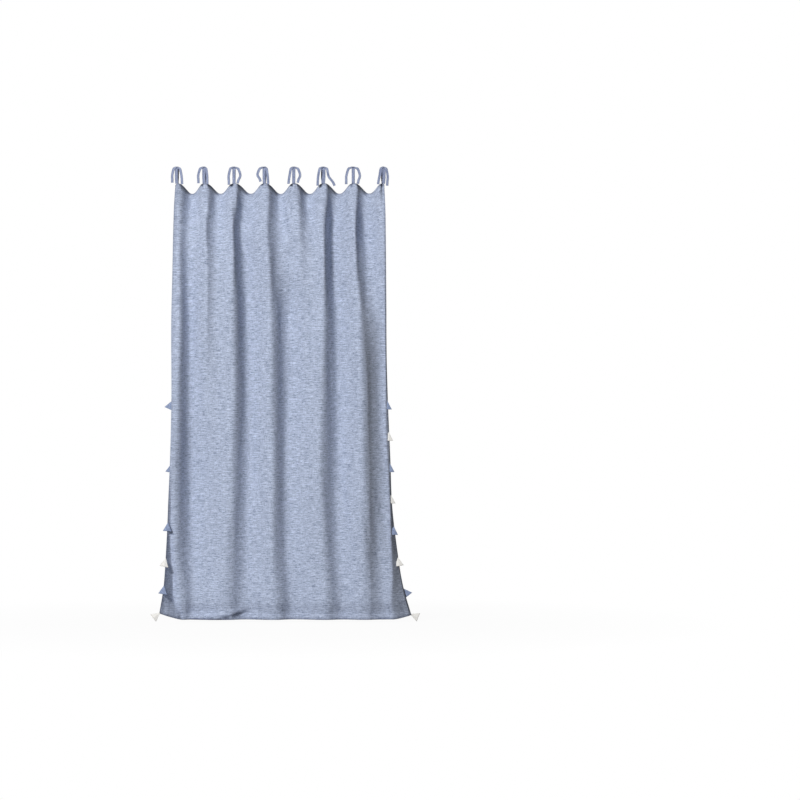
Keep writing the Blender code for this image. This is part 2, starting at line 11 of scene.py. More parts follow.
import bmesh
import bpy
import numpy as np
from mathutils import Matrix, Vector


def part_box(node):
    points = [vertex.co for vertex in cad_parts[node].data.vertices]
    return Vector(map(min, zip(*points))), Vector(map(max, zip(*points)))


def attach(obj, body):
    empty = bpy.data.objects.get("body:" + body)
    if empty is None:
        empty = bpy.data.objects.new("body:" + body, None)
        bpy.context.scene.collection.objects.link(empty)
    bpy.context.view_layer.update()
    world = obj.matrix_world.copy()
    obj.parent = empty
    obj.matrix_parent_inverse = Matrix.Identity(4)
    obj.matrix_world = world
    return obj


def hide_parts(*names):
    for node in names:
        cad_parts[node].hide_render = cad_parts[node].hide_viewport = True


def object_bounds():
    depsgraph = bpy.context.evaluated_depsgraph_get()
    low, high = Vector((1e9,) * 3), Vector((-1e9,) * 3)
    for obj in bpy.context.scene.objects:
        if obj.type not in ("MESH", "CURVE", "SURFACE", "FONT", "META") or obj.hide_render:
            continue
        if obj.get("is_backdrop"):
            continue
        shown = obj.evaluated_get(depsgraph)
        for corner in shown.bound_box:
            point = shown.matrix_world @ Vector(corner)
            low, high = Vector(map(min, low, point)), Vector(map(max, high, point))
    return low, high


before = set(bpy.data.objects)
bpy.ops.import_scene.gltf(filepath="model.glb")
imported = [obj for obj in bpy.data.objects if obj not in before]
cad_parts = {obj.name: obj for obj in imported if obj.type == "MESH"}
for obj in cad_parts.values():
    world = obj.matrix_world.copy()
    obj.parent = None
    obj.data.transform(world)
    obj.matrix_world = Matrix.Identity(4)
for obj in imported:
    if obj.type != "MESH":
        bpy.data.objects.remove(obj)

LOG = logging.getLogger("curtain")

Keys = tuple[tuple[float, float], ...]
Colour = tuple[float, float, float]


class Side(Enum):
    """The two sides of the curtain, and which way is outward."""

    LEFT = -1
    RIGHT = 1


def eased(t: np.ndarray | float) -> np.ndarray | float:
    """A soft step from 0 to 1."""
    t = np.clip(t, 0.0, 1.0)
    return t * t * (3 - 2 * t)


def along(v: float, keys: Keys) -> float:
    """A value that eases from key to key.

    Args:
        v: The share of the drop, from 0 at the top edge to 1 at the hem.
        keys: Pairs of a share and the value there.

    Returns:
        The eased value.
    """
    for (v0, a), (v1, b) in zip(keys, keys[1:]):
        if v <= v1:
            return a + (b - a) * float(eased((v - v0) / (v1 - v0)))
    return keys[-1][1]


def curve(v: float, keys: Keys) -> float:
    """A value on a smooth curve through all keys.

    Args:
        v: The share of the drop.
        keys: Pairs of a share and the value there.

    Returns:
        The value on the curve.
    """
    i = max(k for k in range(len(keys) - 1) if k == 0 or v >= keys[k][0])
    (v0, a), (v1, b) = keys[i], keys[i + 1]
    before, after = keys[max(i - 1, 0)], keys[min(i + 2, len(keys) - 1)]
    start = (b - before[1]) / (v1 - before[0]) * (v1 - v0)
    end = (after[1] - a) / (after[0] - v0) * (v1 - v0)
    t = (v - v0) / (v1 - v0)
    return a + start * t + (3 * (b - a) - 2 * start - end) * t * t + (start + end - 2 * (b - a)) * t**3


@dataclass(frozen=True)
class Fold:
    """One fold that runs down the cloth, as the strip along which the cloth turns back.

    Each line holds a share of the drop, and there the strip's place as a share of the tie span, its
    steepness beside the other folds, and how far it eases out to its left and to its right.
    """

    lines: tuple[tuple[float, float, float, float, float], ...]

    def at(self, v: float) -> list[float]:
        """The place, the steepness and both widths at a share of the drop."""
        return [along(v, tuple((line[0], line[k]) for line in self.lines)) for k in range(1, 5)]


FOLDS = (
    Fold((
        (0.00, -0.461, 0.75, 0.036, 0.038), (0.10, -0.472, 0.55, 0.026, 0.038),
        (0.17, -0.470, 0.75, 0.024, 0.030), (0.31, -0.463, 1.12, 0.028, 0.030),
        (0.49, -0.469, 1.20, 0.032, 0.034), (0.68, -0.475, 1.20, 0.040, 0.042),
        (0.83, -0.475, 0.88, 0.038, 0.046), (0.96, -0.458, 0.50, 0.040, 0.046),
    )),
    Fold((
        (0.00, -0.325, 0.75, 0.036, 0.038), (0.10, -0.352, 0.60, 0.012, 0.040),
        (0.17, -0.347, 0.40, 0.014, 0.045), (0.31, -0.354, 0.36, 0.018, 0.050),
        (0.49, -0.354, 0.15, 0.020, 0.050), (0.68, -0.354, 0.00, 0.020, 0.050),
    )),
    Fold((
        (0.00, -0.207, 0.80, 0.020, 0.054), (0.10, -0.221, 1.15, 0.008, 0.024),
        (0.17, -0.211, 1.00, 0.014, 0.040), (0.31, -0.193, 1.06, 0.032, 0.040),
        (0.49, -0.188, 1.12, 0.036, 0.038), (0.68, -0.192, 0.94, 0.052, 0.044),
        (0.83, -0.211, 0.74, 0.046, 0.058), (0.96, -0.214, 0.50, 0.050, 0.050),
    )),
    Fold((
        (0.00, -0.034, 0.78, 0.036, 0.038), (0.10, -0.049, 0.60, 0.020, 0.058),
        (0.17, -0.040, 0.62, 0.022, 0.062), (0.31, -0.008, 0.96, 0.042, 0.044),
        (0.49, -0.005, 1.13, 0.044, 0.046), (0.68, -0.008, 1.05, 0.034, 0.044),
        (0.83, -0.005, 0.80, 0.042, 0.046), (0.96, 0.019, 0.55, 0.050, 0.050),
    )),
    Fold((
        (0.00, 0.106, 0.78, 0.036, 0.038), (0.10, 0.106, 0.42, 0.024, 0.044),
        (0.17, 0.116, 0.25, 0.026, 0.050), (0.31, 0.125, 0.08, 0.026, 0.050),
        (0.49, 0.125, 0.00, 0.026, 0.050),
    )),
    Fold((
        (0.00, 0.235, 0.80, 0.024, 0.050), (0.10, 0.225, 1.20, 0.014, 0.024),
        (0.17, 0.227, 1.15, 0.014, 0.028), (0.31, 0.241, 1.00, 0.030, 0.044),
        (0.49, 0.245, 1.06, 0.052, 0.050), (0.68, 0.240, 0.92, 0.052, 0.050),
        (0.83, 0.247, 0.70, 0.048, 0.050), (0.96, 0.266, 0.50, 0.050, 0.050),
    )),
    Fold((
        (0.00, 0.383, 0.82, 0.024, 0.046), (0.10, 0.370, 1.05, 0.009, 0.048),
        (0.17, 0.382, 0.86, 0.016, 0.066), (0.31, 0.408, 0.68, 0.030, 0.080),
        (0.49, 0.424, 0.86, 0.038, 0.062), (0.68, 0.434, 0.72, 0.050, 0.066),
        (0.83, 0.434, 0.62, 0.044, 0.054), (0.96, 0.440, 0.36, 0.050, 0.050),
    )),
)


@dataclass(frozen=True)
class Drape:
    """The form that the cloth hangs in, within millimetres of the solid panel."""

    cloth_width: float = 1.50
    peak_drop: float = 0.0725
    hem_drop: float = 2.436
    tie_span: float = 1.1174
    tie_shifts: tuple[float, ...] = (0.0, -0.012, -0.010, -0.005, -0.006, -0.006, -0.003, 0.0)
    scallop_sag: float = 0.0525
    scallop_skew: float = 0.88
    scallop_peak: float = 0.04
    scallop_flank: float = 0.44
    left_edge: Keys = (
        (0.0, 0.0085), (0.055, 0.0165), (0.21, 0.0255), (0.32, 0.0314), (0.49, 0.0300),
        (0.60, 0.0350), (0.76, 0.0480), (0.88, 0.0580), (0.94, 0.0670), (1.0, 0.0890),
    )
    right_edge: Keys = (
        (0.0, 0.0054), (0.074, 0.0122), (0.26, 0.0160), (0.39, 0.0174), (0.50, 0.0244),
        (0.63, 0.0375), (0.74, 0.0471), (0.85, 0.0769), (0.925, 0.1050), (1.0, 0.1520),
    )
    left_rise: float = 0.040
    right_rise: float = 0.018
    right_rise_power: float = 1.5
    flap_power: float = 1.2
    left_turn: Keys = (
        (0.0, 0.000), (0.30, 0.008), (0.62, 0.010), (0.76, -0.010), (0.96, -0.083), (1.0, -0.085),
    )
    right_turn: Keys = ((0.0, 0.000), (0.30, 0.008), (0.62, 0.018), (0.95, 0.080), (1.0, 0.082))
    strip_slope: float = 0.30
    fade_powers: Keys = ((0.0, 1.3), (0.15, 1.3), (0.40, 1.7), (0.60, 1.8))
    last_return: Keys = ((0.0, 1.0), (0.12, 0.9), (0.45, 0.20), (1.0, 0.10))
    faint_fold: float = 0.45
    still_widths: float = 1.5
    pinch_width: float = 0.020
    pinch_end: float = 0.14
    crumple_start: float = -0.510
    crumple_lip_start: float = -0.400
    crumple_end: float = -0.150
    crumple_rise: float = 0.066
    crumple_bulge: float = 0.020
    crumple_soft: float = 0.026
    crumple_undercut: float = 0.009
    crumple_power: float = 1.3
    crumple_fade: float = 0.25
    left_ridge: Keys = ((0.0, 0.0), (0.50, 0.014), (0.80, 0.036), (0.95, 0.019), (1.0, -0.026))
    right_ridge: Keys = (
        (0.0, 0.0), (0.50, 0.012), (0.80, 0.040), (0.90, 0.049), (0.96, 0.040), (1.0, 0.056),
    )
    folds: tuple[Fold, ...] = FOLDS
    samples: int = 1200
    steepest: float = 6.0
    halvings: int = 22

    @property
    def length(self) -> float:
        """The height of the cloth from a tie's peak to the hem."""
        return self.hem_drop - self.peak_drop

    def ties(self) -> list[float]:
        """The x of every tie, from left to right."""
        pitch = self.tie_span / (len(self.tie_shifts) - 1)
        return [pitch * i - self.tie_span / 2 + shift for i, shift in enumerate(self.tie_shifts)]

    def tie_ways(self) -> list[float]:
        """How far along the cloth every tie is sewn on."""
        x, _, way = self.row(0.0)
        return [float(np.interp(tie, x, way)) for tie in self.ties()]

    def ridges(self, v: float) -> tuple[float, float]:
        """The x of the lines where the left and the right flap begin."""
        ties = self.ties()
        return ties[0] - along(v, self.left_ridge), ties[-1] + along(v, self.right_ridge)

    def edges(self, v: float) -> tuple[float, float]:
        """The x of both side edges at a share of the drop."""
        return -self.tie_span / 2 - curve(v, self.left_edge), self.tie_span / 2 + curve(v, self.right_edge)

    def flap_shares(self, x: np.ndarray, v: float) -> tuple[np.ndarray, np.ndarray]:
        """How far each x lies out on the left and the right flap, from 0 at its fold line to 1 at the edge."""
        left, right = self.edges(v)
        left_ridge, right_ridge = self.ridges(v)
        on_left = np.clip((left_ridge - x) / (left_ridge - left), 0.0, 1.0)
        return on_left, np.clip((x - right_ridge) / (right - right_ridge), 0.0, 1.0)

    def fold_slopes(self, x: np.ndarray, v: float) -> np.ndarray:
        """The slope of the cloth along one level row, before it is scaled to the width of the cloth.

        Every fold turns the cloth back over a short strip, and the cloth comes forward again by as much over
        the whole way to the next fold, or to the one after where the next has faded.

        Args:
            x: Places along the row.
            v: The row's share of the drop.

        Returns:
            The slope at each place, above 0 where the cloth goes back.
        """
        left_ridge, right_ridge = self.ridges(v)
        slope = np.zeros_like(x)
        power = along(v, self.fade_powers)
        lines = [fold.at(v) for fold in self.folds]
        ends = [line[0] * self.tie_span for line in lines[1:]] + [right_ridge, right_ridge]
        for i, (place, strength, left, right) in enumerate(lines):
            centre = place * self.tie_span
            before = np.exp(-(((x - centre) / left) ** 2))
            after = np.exp(-(np.abs((x - centre) / right) ** power))
            slope += strength * np.where(x < centre, before, after)
            step = strength * (left * math.sqrt(math.pi) / 2 + right * math.gamma(1 + 1 / power))
            last = i + 1 == len(lines)
            step *= along(v, self.last_return) if last else 1.0
            full = 1.0 if last else float(eased(lines[i + 1][1] / self.faint_fold))
            for share, end in ((full, ends[i]), (1 - full, ends[i + 1])):
                slope -= share * step / (end - centre) * ((x > centre) & (x < end))
        strip = (x > left_ridge) & (x < lines[0][0] * self.tie_span)
        return slope - self.strip_slope * strip

    def crumple(self, x: np.ndarray, v: float) -> np.ndarray:
        """The small turned-under fold along the left end of the hem."""
        height = (1 - v) * self.length
        lip, span = self.crumple_lip(x)
        soft = np.where(height > lip, self.crumple_soft, self.crumple_undercut)
        return -self.crumple_bulge * span * np.exp(-(((height - lip) / soft) ** 2))

    def crumple_lip(self, x: np.ndarray) -> tuple[np.ndarray, np.ndarray]:
        """The height above the hem of the crumple's lip, and how far it has faded in, from 0 to 1."""
        reach = np.clip((x - self.crumple_lip_start) / (self.crumple_end - self.crumple_lip_start), 0, None)
        fade = (self.crumple_end - self.crumple_start) * self.crumple_fade
        span = eased((x - self.crumple_start) / fade) * eased((self.crumple_end - x) / fade)
        return self.crumple_rise * reach**self.crumple_power, span

    def top_drop(self, x: np.ndarray) -> np.ndarray:
        """How far the top edge hangs below the rod's axis."""
        ties = self.ties()
        drop = self.peak_drop + np.maximum(np.maximum(ties[0] - x, x - ties[-1]), 0.0)
        for a, b in zip(ties, ties[1:]):
            t = np.clip((x - a) / (b - a), 0.0, 1.0) ** (1 / self.scallop_skew)
            sag = self.scallop_sag * eased((0.5 - np.abs(t - 0.5) - self.scallop_peak) / self.scallop_flank)
            drop = np.where((x >= a) & (x <= b), self.peak_drop + sag, drop)
        return drop

    def row(self, v: float) -> tuple[np.ndarray, np.ndarray, np.ndarray]:
        """One level row of the cloth, with its folds as steep as the width of the cloth makes them.

        Args:
            v: The row's share of the drop.

        Returns:
            The x and y of samples along the row, and each sample's way along the cloth from the left edge.
        """
        left, right = self.edges(v)
        x, step = np.linspace(left, right, self.samples + 1, retstep=True)
        slope = self.fold_slopes(x, v)
        shape = np.concatenate([[0.0], np.cumsum((slope[1:] + slope[:-1]) / 2 * step)])
        first = self.folds[0].at(v)
        shape -= np.interp(first[0] * self.tie_span - self.still_widths * first[2], x, shape)
        held = 1 - float(eased(v / self.pinch_end))
        for tie in self.ties():
            shape *= 1 - held * np.exp(-(((x - tie) / self.pinch_width) ** 2))
        on_left, on_right = self.flap_shares(x, v)
        still = along(v, self.left_turn) * on_left**self.flap_power
        still += along(v, self.right_turn) * on_right**self.flap_power
        low, high = 0.0, self.steepest
        for _ in range(self.halvings):
            scale = (low + high) / 2
            run = np.hypot(step, np.diff(scale * shape + still)).sum()
            low, high = (scale, high) if run < self.cloth_width else (low, scale)
        steps = np.hypot(step, np.diff(scale * shape + still))
        way = np.concatenate([[0.0], np.cumsum(steps)]) * self.cloth_width / steps.sum()
        return x, scale * shape + still + self.crumple(x, v), way


@dataclass(frozen=True)
class Cloth:
    """A woven finish: its two yarn colours, its slubs and its weave."""

    name: str
    slot: str
    pale: Colour
    deep: Colour
    # edge: the dark colour that the weave's gaps and the hem mask blend to; the hem mask holds darker hems and
    # painted shade
    edge: Colour
    roughness: float = 0.92
    sheen: float = 0.25
    specular: float = 0.2
    slub_contrast: float = 1.0
    gap_shade: float = 0.25
    # hem_shade: how much of the hem mask, painted shade included, is blended in
    hem_shade: float = 0.8
    thread_shade: float = 0.7
    weave_relief: float = 0.4
    bump: float = 0.35
    bump_distance: float = 0.0006


BLUE_CLOTH = Cloth(
    "blue_linen", "panel_cloth",
    pale=(0.618, 0.694, 0.868), deep=(0.205, 0.246, 0.350), edge=(0.050, 0.060, 0.115),
)
BLUE_RIBBON = Cloth(
    "blue_ribbon", "tie_ribbon",
    pale=(0.400, 0.455, 0.640), deep=(0.150, 0.180, 0.290), edge=(0.090, 0.108, 0.190),
)
BLUE_FOLDED = Cloth(
    "blue_folded", "blue_point",
    pale=(0.400, 0.480, 0.680), deep=(0.165, 0.210, 0.345), edge=(0.14, 0.18, 0.30),
)
WHITE_FOLDED = Cloth(
    "white_folded", "white_point",
    pale=(0.960, 0.950, 0.920), deep=(0.840, 0.825, 0.790), edge=(0.58, 0.56, 0.52),
    slub_contrast=0.5,
)


@dataclass(frozen=True)
class Streaks:
    """One layer of uneven yarns: its streaks' sizes beside the group's own, its share, and its shift."""

    length: float
    thickness: float
    share: float
    shift: float
    upright: bool = False


STREAKS = (
    Streaks(1.0, 0.9, 0.30, 3.0),
    Streaks(0.40, 0.40, 0.28, 11.0),
    Streaks(3.2, 0.8, 0.24, 17.0),
    Streaks(1.1, 0.85, 0.12, 23.0, upright=True),
    Streaks(1.4, 9.0, 0.06, 41.0),
)
SLUB_SPREAD = 6.4
YARN_GAP = 0.16
STITCH_SHARE = 0.78


class Nodes:
    """Shader nodes of one tree, made and linked in short calls."""

    def __init__(self, tree: bpy.types.NodeTree) -> None:
        """Takes the tree that the nodes go into."""
        self.tree = tree

    def add(self, kind: str, **settings: object) -> bpy.types.Node:
        """Adds a node.

        Args:
            kind: The node's type name.
            **settings: Properties to set on it.

        Returns:
            The new node.
        """
        node = self.tree.nodes.new(kind)
        for key, value in settings.items():
            setattr(node, key, value)
        return node

    def link(self, source: bpy.types.NodeSocket, target: bpy.types.NodeSocket) -> None:
        """Links an output to an input."""
        self.tree.links.new(source, target)

    def math(self, operation: str, a: object, b: object = 0.0, clamp: bool = False) -> bpy.types.NodeSocket:
        """A Math node.

        Args:
            operation: The node's operation.
            a: The first input, a socket or a number.
            b: The second input, a socket or a number.
            clamp: Whether the result stays between 0 and 1.

        Returns:
            Its output socket.
        """
        node = self.add("ShaderNodeMath", operation=operation, use_clamp=clamp)
        for socket, value in zip(node.inputs, (a, b)):
            if isinstance(value, bpy.types.NodeSocket):
                self.link(value, socket)
            else:
                socket.default_value = value
        return node.outputs[0]

    def parts(self, vector: bpy.types.NodeSocket) -> list[bpy.types.NodeSocket]:
        """The x, y and z of a vector."""
        node = self.add("ShaderNodeSeparateXYZ")
        self.link(vector, node.inputs[0])
        return list(node.outputs)

    def seen(self) -> bpy.types.NodeSocket:
        """1 for the camera and for what it sees in or through a surface."""
        rays = self.add("ShaderNodeLightPath")
        seen = self.math("MAXIMUM", rays.outputs["Is Camera Ray"], rays.outputs["Is Glossy Ray"])
        return self.math("MAXIMUM", seen, rays.outputs["Is Transmission Ray"])

    def blend(self, share: bpy.types.NodeSocket, a: object, b: object) -> bpy.types.NodeSocket:
        """A colour mix.

        Args:
            share: The share of the second colour.
            a: The first colour, a socket or an RGB triple.
            b: The second colour, a socket or an RGB triple.

        Returns:
            The mixed colour's socket.
        """
        node = self.add("ShaderNodeMix", data_type="RGBA", clamp_factor=True)
        self.link(share, node.inputs[0])
        for socket, value in zip((node.inputs[6], node.inputs[7]), (a, b)):
            if isinstance(value, bpy.types.NodeSocket):
                self.link(value, socket)
            else:
                socket.default_value = (*value, 1.0)
        return node.outputs[2]


def new_group(
    name: str, inputs: dict[str, object], outputs: tuple[str, ...]
) -> tuple[Nodes, bpy.types.Node, bpy.types.Node]:
    """A shader node group with named sockets.

    Args:
        name: The group's name.
        inputs: Socket names with their default numbers, or None for a vector.
        outputs: Names of its sockets, which give numbers.

    Returns:
        A node maker for the group, its input node and its output node.
    """
    tree = bpy.data.node_groups.new(name, "ShaderNodeTree")
    for socket_name, default in inputs.items():
        kind = "NodeSocketVector" if default is None else "NodeSocketFloat"
        socket = tree.interface.new_socket(socket_name, in_out="INPUT", socket_type=kind)
        if default is not None:
            socket.default_value = default
    for socket_name in outputs:
        tree.interface.new_socket(socket_name, in_out="OUTPUT", socket_type="NodeSocketFloat")
    nodes = Nodes(tree)
    return nodes, nodes.add("NodeGroupInput"), nodes.add("NodeGroupOutput")


class ClothEffects:
    """The node groups that all cloth shares: drawn-out slubs, the plain weave and lines of stitches."""

    def __init__(self) -> None:
        """Builds each group once."""
        self.slubs = self.slub_group()
        self.weave = self.weave_group()
        self.stitches = self.stitch_group()

    def slub_group(self) -> bpy.types.NodeTree:
        """Noise drawn out along the weft and the warp: uneven yarns, from dark to pale.

        Returns:
            The group, with outputs Value (the yarn's paleness) and Height.
        """
        sizes = {"Cloth": None, "Length": 0.028, "Thickness": 0.0045, "Contrast": 1.0}
        nodes, source, out = new_group("yarn_slubs", sizes, ("Value", "Height"))
        layers = [self.streaks(nodes, source, streaks) for streaks in STREAKS]
        value = nodes.math("MULTIPLY", layers[0], STREAKS[0].share)
        for layer, streaks in zip(layers[1:], STREAKS[1:]):
            value = nodes.math("ADD", value, nodes.math("MULTIPLY", layer, streaks.share))
        spread = nodes.math("MULTIPLY", nodes.math("SUBTRACT", value, 0.5), SLUB_SPREAD)
        spread = nodes.math("MULTIPLY", spread, source.outputs["Contrast"])
        nodes.link(nodes.math("ADD", spread, 0.5, clamp=True), out.inputs["Value"])
        nodes.link(layers[0], out.inputs["Height"])
        return nodes.tree

    def streaks(self, nodes: Nodes, source: bpy.types.Node, streaks: Streaks) -> bpy.types.NodeSocket:
        """One layer of drawn-out noise.

        Args:
            nodes: The group's node maker.
            source: The group's input node.
            streaks: The layer's sizes; upright streaks follow the warp.

        Returns:
            The noise, from 0 to 1.
        """
        parts = nodes.parts(source.outputs["Cloth"])
        run, step = (1, 0) if streaks.upright else (0, 1)
        long_scale = nodes.math("MULTIPLY", source.outputs["Length"], streaks.length)
        thin_scale = nodes.math("MULTIPLY", source.outputs["Thickness"], streaks.thickness)
        place = nodes.add("ShaderNodeCombineXYZ")
        nodes.link(nodes.math("DIVIDE", parts[run], long_scale), place.inputs[0])
        nodes.link(nodes.math("DIVIDE", parts[step], thin_scale), place.inputs[1])
        place.inputs[2].default_value = streaks.shift
        noise = nodes.add("ShaderNodeTexNoise")
        noise.inputs["Scale"].default_value = 1.0
        noise.inputs["Detail"].default_value = 2.0
        noise.inputs["Roughness"].default_value = 0.6
        nodes.link(place.outputs[0], noise.inputs["Vector"])
        return noise.outputs[0]

    def weave_group(self) -> bpy.types.NodeTree:
        """A plain weave: warp and weft yarns that pass over each other in turn.

        Returns:
            The group, with outputs Height and Gap (the dark hole between yarns).
        """
        nodes, source, out = new_group("plain_weave", {"Cloth": None, "Pitch": 0.0011}, ("Height", "Gap"))
        waves = []
        for part in nodes.parts(source.outputs["Cloth"])[:2]:
            turns = nodes.math("DIVIDE", part, source.outputs["Pitch"])
            waves.append(nodes.math("SINE", nodes.math("MULTIPLY", turns, math.pi)))
        crossing = nodes.math("MULTIPLY", waves[0], waves[1])
        height = nodes.math("ADD", nodes.math("MULTIPLY", crossing, 0.5), 0.5)
        nodes.link(height, out.inputs["Height"])
        gap = nodes.math("MINIMUM", nodes.math("ABSOLUTE", waves[0]), nodes.math("ABSOLUTE", waves[1]))
        nodes.link(nodes.math("LESS_THAN", gap, YARN_GAP), out.inputs["Gap"])
        return nodes.tree

    def stitch_group(self) -> bpy.types.NodeTree:
        """A line of lockstitches: a short thread, a needle hole, and again.

        Returns:
            The group, with output Mask (where the thread shows).
        """
        sizes = {"Stitch": None, "Pitch": 0.0045, "Thread": 0.0005}
        nodes, source, out = new_group("lockstitch", sizes, ("Mask",))
        run, aside, sewn = nodes.parts(source.outputs["Stitch"])
        turns = nodes.math("FRACT", nodes.math("DIVIDE", run, source.outputs["Pitch"]))
        away = nodes.math("DIVIDE", nodes.math("ABSOLUTE", aside), source.outputs["Thread"])
        on_thread = nodes.math("LESS_THAN", turns, STITCH_SHARE)
        on_line = nodes.math("MULTIPLY", nodes.math("LESS_THAN", away, 1.0), on_thread)
        nodes.link(nodes.math("MULTIPLY", on_line, sewn), out.inputs["Mask"])
        return nodes.tree

    def material(self, cloth: Cloth) -> bpy.types.Material:
        """The finished material of a cloth.

        Args:
            cloth: The cloth's colours and sizes.

        Returns:
            The material, which reads the mesh's cloth, hem and stitch attributes; the hem attribute also holds
            painted shade.
        """
        material = bpy.data.materials.new(cloth.name)
        material.use_nodes = True
        nodes = Nodes(material.node_tree)
        shader = material.node_tree.nodes["Principled BSDF"]
        names = ("cloth", "hem", "stitch")
        place, hem, sewn = [nodes.add("ShaderNodeAttribute", attribute_name=name) for name in names]
        slubs = nodes.add("ShaderNodeGroup", node_tree=self.slubs)
        slubs.inputs["Contrast"].default_value = cloth.slub_contrast
        weave = nodes.add("ShaderNodeGroup", node_tree=self.weave)
        for group in (slubs, weave):
            nodes.link(place.outputs["Vector"], group.inputs["Cloth"])
        colour = nodes.blend(slubs.outputs["Value"], cloth.deep, cloth.pale)
        colour = nodes.blend(nodes.math("MULTIPLY", weave.outputs["Gap"], cloth.gap_shade), colour, cloth.edge)
        # The hem mask blends in the edge colour: darker hems, and painted shade on rims, turned hems and
        # tucks.
        colour = nodes.blend(nodes.math("MULTIPLY", hem.outputs["Fac"], cloth.hem_shade), colour, cloth.edge)
        thread = nodes.add("ShaderNodeGroup", node_tree=self.stitches)
        nodes.link(sewn.outputs["Vector"], thread.inputs["Stitch"])
        thread_share = nodes.math("MULTIPLY", thread.outputs["Mask"], cloth.thread_shade)
        colour = nodes.blend(thread_share, colour, cloth.pale)
        nodes.link(colour, shader.inputs["Base Color"])
        shader.inputs["Roughness"].default_value = cloth.roughness
        shader.inputs["Sheen Weight"].default_value = cloth.sheen
        shader.inputs["Specular IOR Level"].default_value = cloth.specular
        weave_height = nodes.math("MULTIPLY", weave.outputs["Height"], cloth.weave_relief)
        height = nodes.math("ADD", weave_height, slubs.outputs["Height"])
        height = nodes.math("ADD", height, thread.outputs["Mask"])
        bump = nodes.add("ShaderNodeBump")
        bump.inputs["Strength"].default_value = cloth.bump
        bump.inputs["Distance"].default_value = cloth.bump_distance
        nodes.link(height, bump.inputs["Height"])
        nodes.link(bump.outputs["Normal"], shader.inputs["Normal"])
        return material


def grid_faces(rows: int, columns: int, closed: bool) -> list[tuple[int, int, int, int]]:
    """The quads of a grid of points in row order.

    Args:
        rows: How many rows of points.
        columns: How many points a row.
        closed: Whether the last row joins the first.

    Returns:
        The quads.
    """
    faces = []
    for j in range(rows if closed else rows - 1):
        a, b = j * columns, (j + 1) % rows * columns
        faces += [(a + i, b + i, b + i + 1, a + i + 1) for i in range(columns - 1)]
    return faces


def shell_mesh(
    name: str,
    middle: np.ndarray,
    half: np.ndarray,
    cloth: np.ndarray,
    hem: np.ndarray,
    stitch: np.ndarray,
    closed: bool = False,
) -> bpy.types.Mesh:
    """A closed sheet of cloth about its middle surface.

    Args:
        name: The mesh's name.
        middle: Points of the middle surface, rows by columns by 3.
        half: Half the thickness at each point.
        cloth: Cloth coordinates at each point, rows by columns by 2, in metres.
        hem: The mask at each point, from 0 to 1, that darkens it towards the edge colour: the hems and painted
            shade.
        stitch: The way along the nearest sewn line, the distance from it, and 1 where there is one.
        closed: Whether the last row joins the first.

    Returns:
        The mesh, with the attributes cloth, hem and stitch.
    """
    rows, columns = half.shape
    if closed:
        down = np.roll(middle, -1, 0) - np.roll(middle, 1, 0)
    else:
        down = np.gradient(middle, axis=0)
    across = np.gradient(middle, axis=1)
    normal = np.cross(down, across)
    normal /= np.maximum(np.linalg.norm(normal, axis=2, keepdims=True), 1e-12)
    front = middle + normal * half[..., None]
    back = middle - normal * half[..., None]
    points = np.concatenate([front.reshape(-1, 3), back.reshape(-1, 3)])
    count = rows * columns
    faces = grid_faces(rows, columns, closed)
    faces += [tuple(count + i for i in reversed(face)) for face in faces]
    left = [j * columns for j in range(rows)]
    right = [(j + 1) * columns - 1 for j in reversed(range(rows))]
    if closed:
        rim = [[*left, left[0]], [*right, right[0]]]
    else:
        bottom = [(rows - 1) * columns + i for i in range(1, columns)]
        rim = [left + bottom + right[1:] + list(reversed(range(columns - 1)))]
    for loop in rim:
        faces += [(a, count + a, count + b, b) for a, b in zip(loop, loop[1:])]
    mesh = bpy.data.meshes.new(name)
    mesh.from_pydata(points.tolist(), [], faces)
    mesh.shade_smooth()
    flat = np.dstack([cloth, np.zeros(cloth.shape[:2])])
    dress(mesh, *[np.concatenate([part.reshape(count, -1)] * 2) for part in (flat, hem, stitch)])
    mesh.validate()
    return mesh


def dress(mesh: bpy.types.Mesh, cloth: object, hem: object, stitch: object) -> None:
    """Writes the attributes that the cloth materials read.

    Args:
        mesh: The mesh.
        cloth: The place on the flat cloth of every point, as vectors in metres.
        hem: The mask of every point that darkens it towards the edge colour: the hems and painted shade.
        stitch: The way along the nearest sewn line, the distance from it, and whether there is one.
    """
    for name, kind, field, values in (
        ("cloth", "FLOAT_VECTOR", "vector", cloth),
        ("hem", "FLOAT", "value", hem),
        ("stitch", "FLOAT_VECTOR", "vector", stitch),
    ):
        mesh.attributes.new(name, kind, "POINT").data.foreach_set(field, np.ravel(values).astype(np.float32))


def in_scene(name: str, data: bpy.types.ID) -> bpy.types.Object:
    """A new object of a mesh, camera or lamp, linked to the scene."""
    thing = bpy.data.objects.new(name, data)
    bpy.context.scene.collection.objects.link(thing)
    return thing


def place_piece(
    name: str, mesh: bpy.types.Mesh, material: bpy.types.Material, node: str
) -> bpy.types.Object:
    """Adds a piece that stands for a node of the solid model.

    Args:
        name: The piece's name.
        mesh: Its mesh, in the model's frame.
        material: Its material.
        node: The node that it replaces.

    Returns:
        The piece.
    """
    mesh.materials.clear()
    mesh.materials.append(material)
    piece = in_scene(name, mesh)
    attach(piece, "root")
    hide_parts(node)
    LOG.info("%s: %d faces", name, len(mesh.polygons))
    return piece


@dataclass(frozen=True)
class Ripple:
    """Long soft waves of hanging cloth: how high, how close together across, and how they drift down."""

    height: float
    across: float
    wander: float
    wander_rate: float
    wander_phase: float
    down: float
    drift: float
    phase: float

    def at(self, way: np.ndarray, drop: np.ndarray) -> np.ndarray:
        """How far every point stands forward."""
        waves = np.sin(way * self.across + self.wander * np.sin(drop * self.wander_rate + self.wander_phase))
        return self.height * waves * np.sin(drop * self.down + way * self.drift + self.phase)


